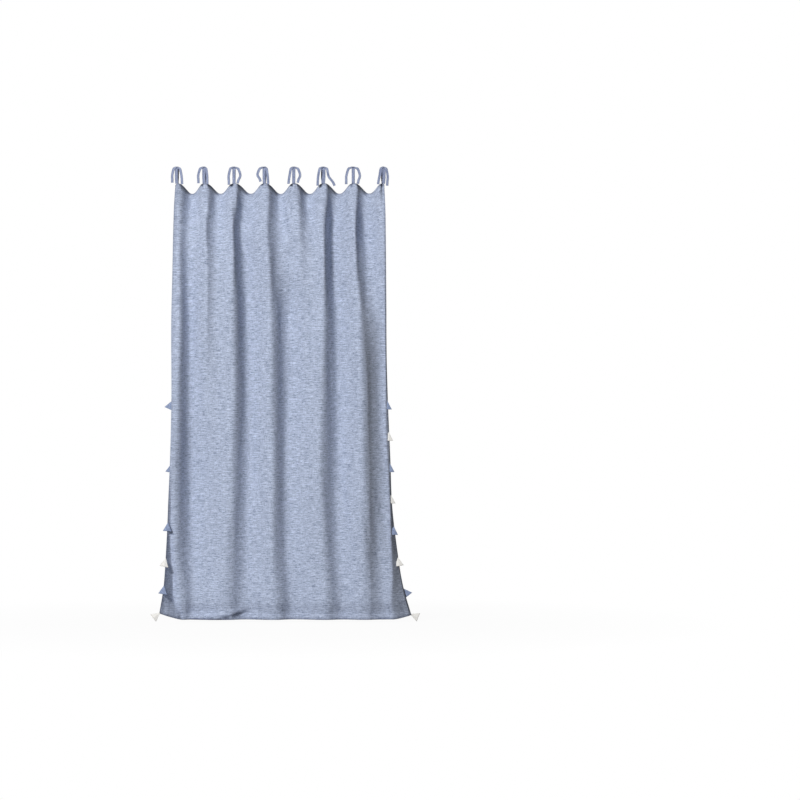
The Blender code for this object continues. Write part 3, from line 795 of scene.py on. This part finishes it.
@dataclass(frozen=True)
class Pucker:
    """Small uneven waves along a sewn hem: how high, how far they reach in, and how close together."""

    height: float
    reach: float
    rate: float
    wander: float
    wander_rate: float

    def at(self, inside: np.ndarray, run: np.ndarray) -> np.ndarray:
        """How far every point stands forward, from its distance to the edge and its way along it."""
        waves = np.sin(run * self.rate + self.wander * np.sin(run * self.wander_rate))
        return self.height * np.exp(-((inside / self.reach) ** 2)) * waves


@dataclass(frozen=True)
class Wrinkles:
    """The wrinkles that run out from a tie: how high, how many to a turn, and where they start and end."""

    height: float = 0.0022
    turn_rate: float = 9.0
    reach: float = 0.075
    start: float = 0.02
    eye: float = 0.004

    def at(self, sideways: np.ndarray, drop: np.ndarray) -> np.ndarray:
        """How far every point stands forward, from its place beside and below the tie."""
        far = np.hypot(sideways, drop)
        angle = np.arctan2(sideways, drop + self.eye)
        rays = self.height * np.cos(angle * self.turn_rate)
        return rays * np.exp(-far / self.reach) * eased(far / self.start)


@dataclass
class PanelCloth:
    """The draped panel with its four sewn hems."""

    drape: Drape
    body_thickness: float = 0.0009
    hem_thickness: float = 0.0022
    top_hem: float = 0.012
    bottom_hem: float = 0.030
    side_hem: float = 0.016
    hem_step: float = 0.0012
    hem_clear: float = 0.005
    stitch_inset: float = 0.0015
    ripple_sizes: tuple[Ripple, ...] = (
        Ripple(0.0014, 61, 1.7, 2.1, 0, 2.9, 5.3, 0),
        Ripple(0.0009, 103, 0.8, 3.7, 2, 4.3, -3.1, 1),
    )
    wrinkles: Wrinkles = Wrinkles()
    side_pucker: Pucker = Pucker(0.0011, 0.020, 190, 2.0, 17)
    low_pucker: Pucker = Pucker(0.0010, 0.035, 150, 2.0, 13)
    roll_depth: float = 0.020
    roll_width: float = 0.022
    roll_start: float = 0.08
    roll_start_fade: float = 0.10
    roll_end: float = 0.54
    roll_end_fade: float = 0.16
    roll_shade_depth: float = 0.55
    flap_roll: float = 0.010
    flap_roll_width: float = 0.0132
    flap_roll_start: float = 0.58
    flap_roll_fade: float = 0.16
    flap_roll_shade: float = 0.7
    hem_lip: float = 0.011
    hem_lip_start: float = 0.12
    hem_lip_start_fade: float = 0.10
    hem_lip_end: float = 1.40
    hem_lip_end_fade: float = 0.06
    rim_width: float = 0.0012
    rim_thinness: float = 0.45
    # Painted shade: a dark line along the rims, its width, its darkness low on the hem and at each share of
    # the drop; and a painted shadow under the crumple's lip.
    edge_width: float = 0.0045
    low_edge_height: float = 0.02
    low_edge_shade: float = 0.8
    hem_shade: float = 0.10
    lip_shade: float = 0.9
    lip_shade_size: float = 0.006
    edge_shades: Keys = (
        (0.0, 0.60), (0.20, 0.50), (0.30, 0.22), (0.42, 0.08), (0.62, 0.16), (0.78, 1.0),
    )
    tuck_sizes: tuple[float, ...] = (0.5, 1.0, 1.0, 0.7, 0.7, 0.8, 0.7, 0.8)
    tuck_depth: float = 0.020
    tuck_aside: float = 0.0110
    tuck_half_width: float = 0.0060
    tuck_drop: float = 0.006
    tuck_half_height: float = 0.011
    rim_rows: tuple[float, ...] = (0.0, 0.0008, 0.0025)
    column_gap: float = 0.003
    crowding: float = 0.3
    straight_drop: float = 0.12
    bay_columns: int = 34
    body_rows: int = 146

    def hem_places(self, hem: float) -> list[float]:
        """Distances from an edge at which the mesh has a line, close together at the rim and the sewn step."""
        return [*self.rim_rows, hem / 2, hem - self.hem_step, hem, hem + self.hem_step, hem + self.hem_clear]

    def columns(self) -> np.ndarray:
        """The ways along the cloth of every column: dense in the side hems, even between the ties."""
        width = self.drape.cloth_width
        held = self.drape.tie_ways()
        inner = []
        for a, b in zip(held, held[1:]):
            inner += [a + (b - a) * i / self.bay_columns for i in range(self.bay_columns)]
        side = self.hem_places(self.side_hem)
        free = side[-1] + self.column_gap
        inner = [s for s in [*inner, held[-1]] if free < s < width - free]
        return np.array(side + inner + [width - s for s in reversed(side)])

    def rows(self) -> np.ndarray:
        """The drops below the top edge of every row, dense in the hems and the top bays."""
        length = self.drape.length
        top = self.hem_places(self.top_hem)
        low = self.hem_places(self.bottom_hem)
        share = np.linspace(0.0, 1.0, self.body_rows + 2)[1:-1]
        share = (1 - self.crowding) * share + self.crowding * (1 - np.cos(np.pi * share)) / 2
        body = top[-1] + (length - low[-1] - top[-1]) * share
        return np.concatenate([top, body, [length - d for d in reversed(low)]])

    def ripples(self, way: np.ndarray, drop: np.ndarray) -> np.ndarray:
        """The small unevenness of hanging cloth: long ripples, tie wrinkles and puckered hems.

        Args:
            way: The way along the cloth of every point.
            drop: The drop below the top edge of every point.

        Returns:
            How far each point stands forward.
        """
        width, above = self.drape.cloth_width, self.drape.length - drop
        ripple = sum(size.at(way, drop) for size in self.ripple_sizes)
        for held in self.drape.tie_ways():
            ripple += self.wrinkles.at(way - held, drop)
        ripple -= self.tuck_depth * self.hollows(way, drop)
        ripple += self.side_pucker.at(np.minimum(way, width - way), drop)
        lip = eased(1 - above / self.bottom_hem) * eased((way - self.hem_lip_start) / self.hem_lip_start_fade)
        ripple += self.hem_lip * lip * eased((self.hem_lip_end - way) / self.hem_lip_end_fade)
        return ripple + self.low_pucker.at(above, way)

    def hollows(self, way: np.ndarray, drop: np.ndarray) -> np.ndarray:
        """The tuck beside each tie, where the loop's opening shows: 1 at its middle. It dents the cloth back,
        and the hem mask paints shade in it too.
        """
        down = ((drop - self.tuck_drop) / self.tuck_half_height) ** 4
        total = np.zeros_like(way)
        for held, size in zip(self.drape.tie_ways(), self.tuck_sizes):
            total += size * np.exp(-(((way - held + self.tuck_aside) / self.tuck_half_width) ** 4) - down)
        return total

    def turned_hems(self, x: np.ndarray, way: np.ndarray, drop: np.ndarray) -> tuple[np.ndarray, np.ndarray]:
        """The hems that turn back: the top one to the right of every tie, and the side one low on the right.

        Args:
            x: The place along the rod of every point.
            way: The way along the cloth of every point.
            drop: The drop below the top edge of every point.

        Returns:
            How far each point stands back, and the share of painted shade on the turned parts, from 0 to 1.
        """
        rolled = np.zeros_like(x)
        ties = self.drape.ties()
        for a, b in zip(ties, ties[1:]):
            t = (x - a) / (b - a)
            start = eased((t - self.roll_start) / self.roll_start_fade)
            rolled += start * eased((self.roll_end - t) / self.roll_end_fade)
        near_top = np.clip(1 - drop / self.roll_width, 0, 1)
        low = eased((drop / self.drape.length - self.flap_roll_start) / self.flap_roll_fade)
        near_side = np.clip(1 - (self.drape.cloth_width - way) / self.flap_roll_width, 0, 1)
        back = self.roll_depth * rolled * near_top + self.flap_roll * low * near_side
        # Painted shade on the turned hems: on the top hem's roll and low on the right side hem.
        shaded_side = self.flap_roll_shade * low * eased(near_side / self.flap_roll_shade)
        return back, np.maximum(rolled * eased(near_top / self.roll_shade_depth), shaded_side)

    def build(self, material: bpy.types.Material) -> bpy.types.Object:
        """Builds the panel.

        Args:
            material: The cloth's material.

        Returns:
            The panel.
        """
        ways, drops = self.columns(), self.rows()
        middle = np.zeros((len(drops), len(ways), 3))
        for j, drop in enumerate(drops):
            v = float(drop) / self.drape.length
            x, y, run = self.drape.row(v)
            row_x = np.interp(ways, run, x)
            on_left, on_right = self.drape.flap_shares(row_x, v)
            rise = self.drape.left_rise * on_left**self.drape.flap_power
            rise += self.drape.right_rise * on_right**self.drape.right_rise_power
            middle[j, :, 0] = row_x
            middle[j, :, 1] = np.interp(ways, run, y)
            middle[j, :, 2] = -(self.drape.top_drop(row_x) * (1 - v) + (self.drape.hem_drop - rise) * v)
        way, drop = np.meshgrid(ways, drops)
        back, turned = self.turned_hems(middle[..., 0], way, drop)
        middle[..., 1] += back - self.ripples(way, drop)
        sag = self.drape.top_drop(middle[..., 0]) - self.drape.peak_drop
        level = -middle[..., 2] - self.drape.peak_drop - sag * np.exp(-drop / self.straight_drop)
        width, length = self.drape.cloth_width, self.drape.length
        sides = np.minimum(way, width - way)
        past_ends = np.minimum(drop - self.top_hem, length - drop - self.bottom_hem)
        inside = np.minimum(sides - self.side_hem, past_ends)
        hem = 1 - eased(inside / self.hem_step + 0.5)
        rim = np.minimum.reduce([sides, drop, length - drop])
        half = (self.body_thickness + (self.hem_thickness - self.body_thickness) * hem) / 2
        half *= self.rim_thinness + (1 - self.rim_thinness) * eased(rim / self.rim_width)
        # Painted shade along the rims, darker low on the hem.
        shade = np.array([along(float(d) / length, self.edge_shades) for d in drops])[:, None]
        shade = np.where(length - drop < self.low_edge_height, self.low_edge_shade, shade)
        # A painted shadow under the crumple's lip.
        lip, span = self.drape.crumple_lip(middle[..., 0])
        below_lip = length - drop - np.maximum(lip - self.lip_shade_size, 0.0)
        under_lip = span * np.exp(-((below_lip / self.lip_shade_size) ** 2))
        # The mask holds painted shade: the rim lines, the turned hems, the tucks and under the lip; the
        # doubled hems are a little darker.
        painted_shade_and_hem_mask = np.exp(-((rim / self.edge_width) ** 2)) * shade + turned + self.hollows(way, drop)
        painted_shade_and_hem_mask = np.clip(painted_shade_and_hem_mask + self.lip_shade * under_lip + self.hem_shade * hem, 0, 1)
        along_side = sides - self.side_hem == inside
        stitch = np.stack([np.where(along_side, drop, way), inside + self.stitch_inset, np.ones_like(way)], 2)
        mesh = shell_mesh("panel_cloth", middle, half, np.stack([way, level], 2), painted_shade_and_hem_mask, stitch)
        return place_piece("panel_cloth", mesh, material, "panel")


@dataclass(frozen=True)
class Tail:
    """A free end of a tie, in front of the rod: how far it bows out, where it ends, and its drop."""

    bow: float
    end: float
    drop: float


@dataclass
class RodTie:
    """One ribbon: its loop round the rod, its knot and its two tails."""

    number: int
    x: float
    slant: float
    tails: tuple[Tail, Tail]
    peak_drop: float
    rod_radius: float = 0.0131
    width: float = 0.017
    tail_width: float = 0.0135
    thickness: float = 0.0012
    seat_radius: float = 0.0012
    stand_off: float = 0.0035
    layer: float = 0.0014
    knot_radii: tuple[float, float, float] = (0.0092, 0.0100, 0.0025)
    knot_segments: tuple[int, int] = (36, 22)
    across: int = 9
    stitch_inset: float = 0.0022
    turn_steps: int = 24
    seat_steps: int = 8
    spacing: float = 0.004
    knot_exit: tuple[float, float, float] = (0.08, -0.006, -0.0010)
    tail_turns: tuple[tuple[float, float], ...] = ((62, 0.20), (35, 0.46), (8, 0.72))
    tail_drops: tuple[float, float] = (0.42, 0.75)
    tail_sway: float = 0.001
    path_steps: int = 7
    cup: float = 0.0007
    cup_rate: float = 90.0
    edge_thinness: float = 0.35
    edge_start: float = 0.75
    edge_shade_width: float = 0.20
    cloth_shift: float = 0.3
    knot_crease: float = 0.13
    knot_turns: float = 7.0
    knot_twist: float = 0.9
    knot_pinch: float = 0.10
    knot_lift: float = 0.75
    knot_shift: float = 0.2

    def loop_path(self) -> list[Vector]:
        """The middle line of the loop: round the rod and down to the cloth's peak."""
        big = self.rod_radius + self.thickness / 2
        small = self.seat_radius + self.thickness / 2
        distance = self.peak_drop - small
        lean = math.asin((big - small) / distance)
        over_rod = (big, 0.0, -lean, math.pi + 2 * lean, self.turn_steps)
        at_seat = (small, distance, math.pi + lean, math.pi - 2 * lean, self.seat_steps)
        points = []
        for radius, down, start, sweep, steps in (over_rod, at_seat):
            for i in range(steps + 1):
                angle = start + sweep * i / steps
                points.append((radius * math.cos(angle), radius * math.sin(angle) - down))
        dense = []
        for (y0, z0), (y1, z1) in zip(points, [*points[1:], points[0]]):
            count = max(1, round(math.hypot(y1 - y0, z1 - z0) / self.spacing))
            dense += [(y0 + (y1 - y0) * k / count, z0 + (z1 - z0) * k / count) for k in range(count)]
        reach = self.rod_radius / 2
        path = []
        for y, z in dense:
            shift = self.slant / 2 * min(max(y / reach, -1.0), 1.0)
            path.append(Vector((self.x + shift, y, z)))
        return path

    def tail_path(self, layer: int, tail: Tail) -> list[Vector]:
        """A tail's middle line, from inside the knot over the rod and down; layer 1 crosses under 0."""
        reach = self.rod_radius + self.thickness + self.stand_off - layer * self.layer
        top = reach - self.stand_off + self.knot_radii[2]
        share, forward, down = self.knot_exit
        route = [Vector((0.0, 0.0, top)), Vector((tail.bow * share, forward, top + down))]
        for degrees, share in self.tail_turns:
            angle = math.radians(degrees)
            route.append(Vector((tail.bow * share, -reach * math.cos(angle), reach * math.sin(angle))))
        upper, lower = self.tail_drops
        route.append(Vector((tail.bow, -reach - self.tail_sway, -tail.drop * upper)))
        route.append(Vector(((tail.bow + 2 * tail.end) / 3, -reach, -tail.drop * lower)))
        route.append(Vector((tail.end, 2 * self.tail_sway - reach, -tail.drop)))
        return [point + Vector((self.x, 0.0, 0.0)) for point in smooth_path(route, self.path_steps)]

    def ribbon(self, name: str, path: list[Vector], outs: list[Vector], closed: bool) -> bpy.types.Mesh:
        """A flat ribbon along a path, gently cupped across.

        Args:
            name: The mesh's name.
            path: Its middle line.
            outs: The way that its face looks at each point.
            closed: Whether it is the loop, which joins itself, and not a tail, which is pulled narrower.

        Returns:
            The ribbon's mesh.
        """
        count = len(path)
        width = self.width if closed else self.tail_width
        middle = np.zeros((count, self.across, 3))
        cloth = np.zeros((count, self.across, 2))
        run = 0.0
        for j, point in enumerate(path):
            before = path[(j - 1) % count] if closed else path[max(j - 1, 0)]
            after = path[(j + 1) % count] if closed else path[min(j + 1, count - 1)]
            heading = (after - before).normalized()
            side = heading.cross(outs[j]).normalized()
            out = side.cross(heading).normalized()
            run += (point - path[j - 1]).length if j else 0.0
            for i in range(self.across):
                q = 2 * i / (self.across - 1) - 1
                cup = self.cup * q * q * math.sin(run * self.cup_rate)
                middle[j, i] = point + side * (width / 2 * q) - out * cup
                cloth[j, i] = (self.number * self.cloth_shift + run, q * width / 2)
        q = np.abs(np.linspace(-1, 1, self.across))
        thinner = self.edge_thinness * eased((q - self.edge_start) / (1 - self.edge_start))
        half = np.tile(self.thickness / 2 * (1 - thinner), (count, 1))
        # Painted shade: the ribbon darkens towards both long edges.
        hem = np.tile(np.exp(-(((1 - q) / self.edge_shade_width) ** 2)), (count, 1))
        from_stitch = np.tile((1 - q) * width / 2 - self.stitch_inset, (count, 1))
        stitch = np.stack([cloth[..., 0], from_stitch, np.ones_like(hem)], 2)
        return shell_mesh(name, middle, half, cloth, hem, stitch, closed)

    def knot_mesh(self, name: str) -> bpy.types.Mesh:
        """The knot: a soft ball of ribbon with two turns drawn round it."""
        body = bmesh.new()
        round_it, down_it = self.knot_segments
        bmesh.ops.create_uvsphere(body, u_segments=round_it, v_segments=down_it, radius=1.0)
        for vert in body.verts:
            turn = math.atan2(vert.co.z, vert.co.x)
            twist = self.knot_twist * math.sin(turn + self.number)
            crease = self.knot_crease * math.cos(vert.co.y * self.knot_turns + twist)
            pinch = self.knot_pinch * math.cos(2 * turn + self.number)
            vert.co *= 1.0 + crease * (1 - vert.co.y**2) + pinch * (1 - abs(vert.co.y))
            vert.co = Vector([c * r for c, r in zip(vert.co, self.knot_radii)])
            round_rod = math.sqrt(max((self.rod_radius + self.thickness) ** 2 - vert.co.y**2, 0.0))
            vert.co += Vector((self.x, 0.0, round_rod + self.knot_radii[2] * self.knot_lift))
        mesh = bpy.data.meshes.new(name)
        body.to_mesh(mesh)
        body.free()
        mesh.shade_smooth()
        shift = self.number * self.knot_shift
        flat = [(vert.co.y + shift, vert.co.z + vert.co.x, 0.0) for vert in mesh.vertices]
        dress(mesh, flat, np.zeros(len(flat)), np.zeros((len(flat), 3)))
        return mesh

    def build(self, material: bpy.types.Material) -> bpy.types.Object:
        """Builds the tie as one piece.

        Args:
            material: The ribbon's material.

        Returns:
            The tie.
        """
        name = f"tie_{self.number}_ribbon"
        loop = self.loop_path()
        seat = self.seat_radius - self.peak_drop
        outs = []
        for p in loop:
            centre = seat if p.z < seat + self.spacing / 4 else min(p.z, 0.0)
            outs.append(Vector((0.0, p.y, p.z - centre)).normalized())
        meshes = [self.ribbon(f"{name}_loop", loop, outs, True), self.knot_mesh(f"{name}_knot")]
        for layer, tail in enumerate(self.tails):
            path = self.tail_path(layer, tail)
            faces = [Vector((0.0, p.y, max(p.z, 0.0))).normalized() for p in path]
            meshes.append(self.ribbon(f"{name}_tail", path, faces, False))
        return place_piece(name, joined(name, meshes), material, f"tie_{self.number}")


def smooth_path(route: list[Vector], steps: int) -> list[Vector]:
    """A smooth curve through all points of a route.

    Args:
        route: The route's points.
        steps: How many points for each stretch.

    Returns:
        The curve's points.
    """
    points = []
    for i, (b, c) in enumerate(zip(route, route[1:])):
        a = route[max(i - 1, 0)]
        d = route[min(i + 2, len(route) - 1)]
        for step in range(steps):
            t = step / steps
            bend = (2 * a - 5 * b + 4 * c - d) * t + (3 * b - a - 3 * c + d) * t * t
            points.append(b + (c - a + bend) * t / 2)
    return [*points, route[-1]]


def joined(name: str, meshes: list[bpy.types.Mesh]) -> bpy.types.Mesh:
    """One mesh of several, with their attributes kept.

    Args:
        name: The new mesh's name.
        meshes: The meshes, which are removed.

    Returns:
        The joined mesh.
    """
    body = bmesh.new()
    for mesh in meshes:
        body.from_mesh(mesh)
        bpy.data.meshes.remove(mesh)
    whole = bpy.data.meshes.new(name)
    body.to_mesh(whole)
    body.free()
    return whole


@dataclass(frozen=True)
class Sewn:
    """How a point is sewn on: its swing in degrees, its place inside the edge, how much higher, and where."""

    swing: float
    inset: float
    higher: float = 0.0
    in_front: bool = True


@dataclass
class FoldedPoint:
    """A small triangle of cloth, folded twice, sewn by its corner to a side hem and open at its base."""

    drape: Drape
    side: Side
    index: int
    sewn: Sewn
    slant_length: float = 0.052
    spread: float = 56.0
    rim: float = 0.0020
    crest: float = 0.007
    pitch: float = 0.1705
    run: float = 1.185
    corner_clearance: float = 0.004
    thickness: float = 0.0005
    apex_width: float = 0.0012
    hem: float = 0.003
    facet_steps: int = 9
    length_steps: int = 18
    pocket_shares: tuple[float, ...] = (1.0, 0.8, 0.6, 0.4)
    crest_softness: float = 0.006
    edge_power: int = 8
    edge_shade: float = 0.7
    cloth_shifts: tuple[float, float] = (0.13, 0.07)

    @property
    def node(self) -> str:
        """The node's name."""
        return f"point_{self.side.name.lower()}_{self.index + 1}"

    @property
    def length(self) -> float:
        """The way from the sewn corner to the middle of the base."""
        return self.slant_length * math.cos(math.radians(self.spread / 2))

    @property
    def half_base(self) -> float:
        """Half the base's width."""
        return self.slant_length * math.sin(math.radians(self.spread / 2))

    def corner(self) -> tuple[float, float]:
        """The x of the sewn corner and its drop below the rod's axis."""
        rise = self.drape.left_rise if self.side is Side.LEFT else self.drape.right_rise
        lowest = self.drape.hem_drop - rise - self.corner_clearance
        drop = min(self.drape.hem_drop - self.run + self.pitch * self.index - self.sewn.higher, lowest)
        reach = self.drape.hem_drop - rise - self.drape.peak_drop
        left, right = self.drape.edges((drop - self.drape.peak_drop) / reach)
        edge = left if self.side is Side.LEFT else right
        return edge - self.side.value * self.sewn.inset, drop

    def section(self, share: float, inset: float) -> np.ndarray:
        """A closed cross-section: a flat back, two turned edges and two facets that meet in a soft crest.

        Args:
            share: The way from the corner to the base, from 0 to 1.
            inset: How far the section lies inside the outer face.

        Returns:
            Points of (place across, height above the back, closeness to the side edges).
        """
        half = self.apex_width + (self.half_base - self.apex_width) * share - inset
        q = np.linspace(-1.0, 1.0, 2 * self.facet_steps + 1)
        crest = (self.crest - self.rim) * share
        soft = self.crest_softness
        bend = 1 - (np.sqrt(q * q + soft) - math.sqrt(soft)) / (math.sqrt(1 + soft) - math.sqrt(soft))
        front = np.stack([q * half, self.rim - inset + crest * bend, np.abs(q) ** self.edge_power], 1)
        back_q = q[::-2]
        back = np.stack([back_q * half, np.full_like(back_q, inset), np.abs(back_q) ** self.edge_power], 1)
        return np.concatenate([front, back])

    def build(self, materials: dict[str, bpy.types.Material]) -> bpy.types.Object:
        """Builds the point.

        Args:
            materials: The materials by cloth name.

        Returns:
            The point.
        """
        cloth = BLUE_FOLDED if self.index % 2 == 0 else WHITE_FOLDED
        sections = [(k / self.length_steps, 0.0) for k in range(self.length_steps + 1)]
        sections += [(share, self.thickness) for share in self.pocket_shares]
        low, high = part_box(self.node)
        outward = -1 if self.sewn.in_front else 1
        back_y = high[1] if self.sewn.in_front else low[1]
        x, drop = self.corner()
        angle = math.radians(self.sewn.swing - 90)
        heading = np.array([math.cos(angle), math.sin(angle)])
        lateral = np.array([-heading[1], heading[0]])
        shift, side_shift = self.cloth_shifts[0] * self.index, self.cloth_shifts[1] * self.side.value
        points, flat, mask, stitch = [], [], [], []
        for share, inset in sections:
            for across, height, closeness in self.section(share, inset):
                way = share * self.length
                place = heading * way + lateral * across
                points.append((x + place[0], back_y + outward * height, place[1] - drop))
                flat.append((way + across + shift, way - across + side_shift, 0.0))
                from_base = self.length - way
                # Darker along the base, and towards the side edges as painted shade.
                mask.append(max(math.exp(-((from_base / self.hem) ** 2)), self.edge_shade * closeness))
                stitch.append((across, from_base - self.hem, 1.0))
        count = len(self.section(1.0, 0.0))
        rows = len(sections)
        faces = [tuple(range(count)), tuple(range((rows - 1) * count, rows * count))]
        for j in range(rows - 1):
            for i in range(count):
                a, b = j * count + i, j * count + (i + 1) % count
                faces.append((a, b, b + count, a + count))
        mesh = bpy.data.meshes.new(f"{self.node}_cloth")
        mesh.from_pydata(points, [], faces)
        body = bmesh.new()
        body.from_mesh(mesh)
        bmesh.ops.recalc_face_normals(body, faces=body.faces)
        body.to_mesh(mesh)
        body.free()
        mesh.shade_smooth()
        dress(mesh, flat, mask, stitch)
        return place_piece(f"{self.node}_cloth", mesh, materials[cloth.name], self.node)


@dataclass
class Studio:
    """The pale floor, the soft lights and the camera at the photo's viewing angle."""

    photo_pixels: float = 800.0
    metres_per_pixel: float = 0.005414
    panel_centre_px: float = 280.1
    rod_px: float = 170.0
    distance: float = 18.0
    sensor: float = 36.0
    floor_clearance: float = 0.004
    floor_size: float = 14.0
    floor_y: float = 1.0
    floor_grey: float = 0.60
    near_white: float = 0.96
    white_start: float = 2.5
    white_fade: float = 1.0
    middle_drop: float = 1.2
    key_azimuth: float = 24.0
    key_elevation: float = 25.0
    key_distance: float = 12.0
    key_size: float = 2.0
    key_level: float = 2.98
    fill_level: float = 0.05
    fill_colour: Colour = (1.0, 0.91, 0.80)

    def camera(self) -> None:
        """Stands the camera level, facing the middle of the picture."""
        data = bpy.data.cameras.new("camera")
        data.sensor_width = self.sensor
        data.lens = self.sensor * self.distance / (self.photo_pixels * self.metres_per_pixel)
        camera = in_scene("camera", data)
        x = (self.photo_pixels / 2 - self.panel_centre_px) * self.metres_per_pixel
        z = -(self.photo_pixels / 2 - self.rod_px) * self.metres_per_pixel
        camera.location = (x, -self.distance, z)
        camera.rotation_euler = (math.radians(90), 0.0, 0.0)
        bpy.context.scene.camera = camera

    def key_light(self) -> None:
        """A large soft lamp well away from the curtain's face; its level is in watts a square metre there."""
        data = bpy.data.lights.new("key", "AREA")
        data.size = self.key_size
        data.energy = self.key_level * math.pi * self.key_distance**2
        light = in_scene("key", data)
        turn, lift = math.radians(self.key_azimuth), math.radians(self.key_elevation)
        source = Vector((-math.sin(turn) * math.cos(lift), -math.cos(turn) * math.cos(lift), math.sin(lift)))
        light.location = source * self.key_distance + Vector((0.0, 0.0, -self.middle_drop))
        light.rotation_euler = (-source).to_track_quat("-Z", "Y").to_euler()

    def world(self) -> None:
        """A white surround for the camera, and a plain soft fill for everything else."""
        world = bpy.data.worlds.new("surround")
        bpy.context.scene.world = world
        world.use_nodes = True
        nodes = Nodes(world.node_tree)
        background = world.node_tree.nodes["Background"]
        seen = nodes.seen()
        strength = nodes.math("ADD", nodes.math("MULTIPLY", seen, 1.0 - self.fill_level), self.fill_level)
        nodes.link(nodes.blend(seen, self.fill_colour, (1.0, 1.0, 1.0)), background.inputs["Color"])
        nodes.link(strength, background.inputs["Strength"])

    def floor(self) -> None:
        """A pale floor just under the hem that runs out to white."""
        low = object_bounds()[0][2] - self.floor_clearance
        bpy.ops.mesh.primitive_plane_add(size=self.floor_size, location=(0.0, self.floor_y, low))
        floor = bpy.context.object
        floor.name = "floor"
        material = bpy.data.materials.new("floor_paper")
        material.use_nodes = True
        nodes = Nodes(material.node_tree)
        tree = material.node_tree
        tree.nodes.remove(tree.nodes["Principled BSDF"])
        paper = nodes.add("ShaderNodeBsdfDiffuse")
        paper.inputs["Color"].default_value = (*[self.floor_grey] * 3, 1.0)
        white = nodes.add("ShaderNodeEmission")
        place = nodes.add("ShaderNodeNewGeometry")
        far = nodes.add("ShaderNodeVectorMath", operation="LENGTH")
        nodes.link(place.outputs["Position"], far.inputs[0])
        past = nodes.math("SUBTRACT", far.outputs["Value"], self.white_start)
        fade = nodes.math("DIVIDE", past, self.white_fade, clamp=True)
        fade = nodes.math("ADD", nodes.math("MULTIPLY", fade, 1.0 - self.near_white), self.near_white)
        mix = nodes.add("ShaderNodeMixShader")
        nodes.link(nodes.math("MULTIPLY", fade, nodes.seen()), mix.inputs[0])
        nodes.link(paper.outputs[0], mix.inputs[1])
        nodes.link(white.outputs[0], mix.inputs[2])
        nodes.link(mix.outputs[0], tree.nodes["Material Output"].inputs["Surface"])
        floor.data.materials.append(material)
        floor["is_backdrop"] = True

    def build(self) -> None:
        """Builds the camera, the floor, the surround and the lights."""
        self.camera()
        self.floor()
        self.world()
        self.key_light()
        bpy.context.scene.view_settings.view_transform = "Standard"


TIE_SLANTS = (0.004, 0.003, 0.0, 0.003, 0.0, -0.008, 0.0, -0.008)
TIE_TAILS = (
    (Tail(-0.024, -0.024, 0.070), Tail(0.026, 0.029, 0.078)),
    (Tail(-0.031, -0.030, 0.073), Tail(0.017, 0.018, 0.078)),
    (Tail(-0.028, -0.027, 0.081), Tail(0.035, 0.020, 0.073)),
    (Tail(-0.037, -0.020, 0.064), Tail(0.018, 0.021, 0.078)),
    (Tail(-0.022, -0.028, 0.076), Tail(0.035, 0.022, 0.070)),
    (Tail(-0.027, -0.030, 0.086), Tail(0.030, 0.062, 0.086)),
    (Tail(-0.037, -0.038, 0.078), Tail(0.036, 0.025, 0.076)),
    (Tail(-0.020, -0.028, 0.078), Tail(0.024, 0.021, 0.086)),
)
POINTS = {
    Side.LEFT: (
        Sewn(-24, 0.003, 0.0, False),
        Sewn(26, 0.012, 0.0, False),
        Sewn(-10, 0.008, 0.0, False),
        Sewn(20, 0.010, 0.0, False),
        Sewn(-4, 0.003, 0.024),
        Sewn(-13, 0.002, 0.004),
        Sewn(-9, 0.002, 0.028),
        Sewn(-52, 0.003),
    ),
    Side.RIGHT: (
        *[Sewn(0, 0.003)] * 4,
        Sewn(-2, 0.003),
        Sewn(10, 0.003),
        Sewn(38, 0.003),
        Sewn(68, 0.003),
    ),
}


def main() -> None:
    """Builds the stage and every piece of the curtain."""
    logging.basicConfig(level=logging.INFO, format="%(message)s")
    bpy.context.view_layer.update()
    Studio().build()
    effects = ClothEffects()
    cloths = (BLUE_CLOTH, BLUE_RIBBON, BLUE_FOLDED, WHITE_FOLDED)
    materials = {cloth.name: effects.material(cloth) for cloth in cloths}
    drape = Drape()
    cloth = PanelCloth(drape)
    panel = cloth.build(materials[BLUE_CLOTH.name])
    for i, (x, slant, tails) in enumerate(zip(drape.ties(), TIE_SLANTS, TIE_TAILS)):
        RodTie(i + 1, x, slant, tails, drape.peak_drop).build(materials[BLUE_RIBBON.name])
    points = []
    for side, sewn in POINTS.items():
        points += [FoldedPoint(drape, side, i, how).build(materials) for i, how in enumerate(sewn)]


if __name__ == "__main__":
    main()
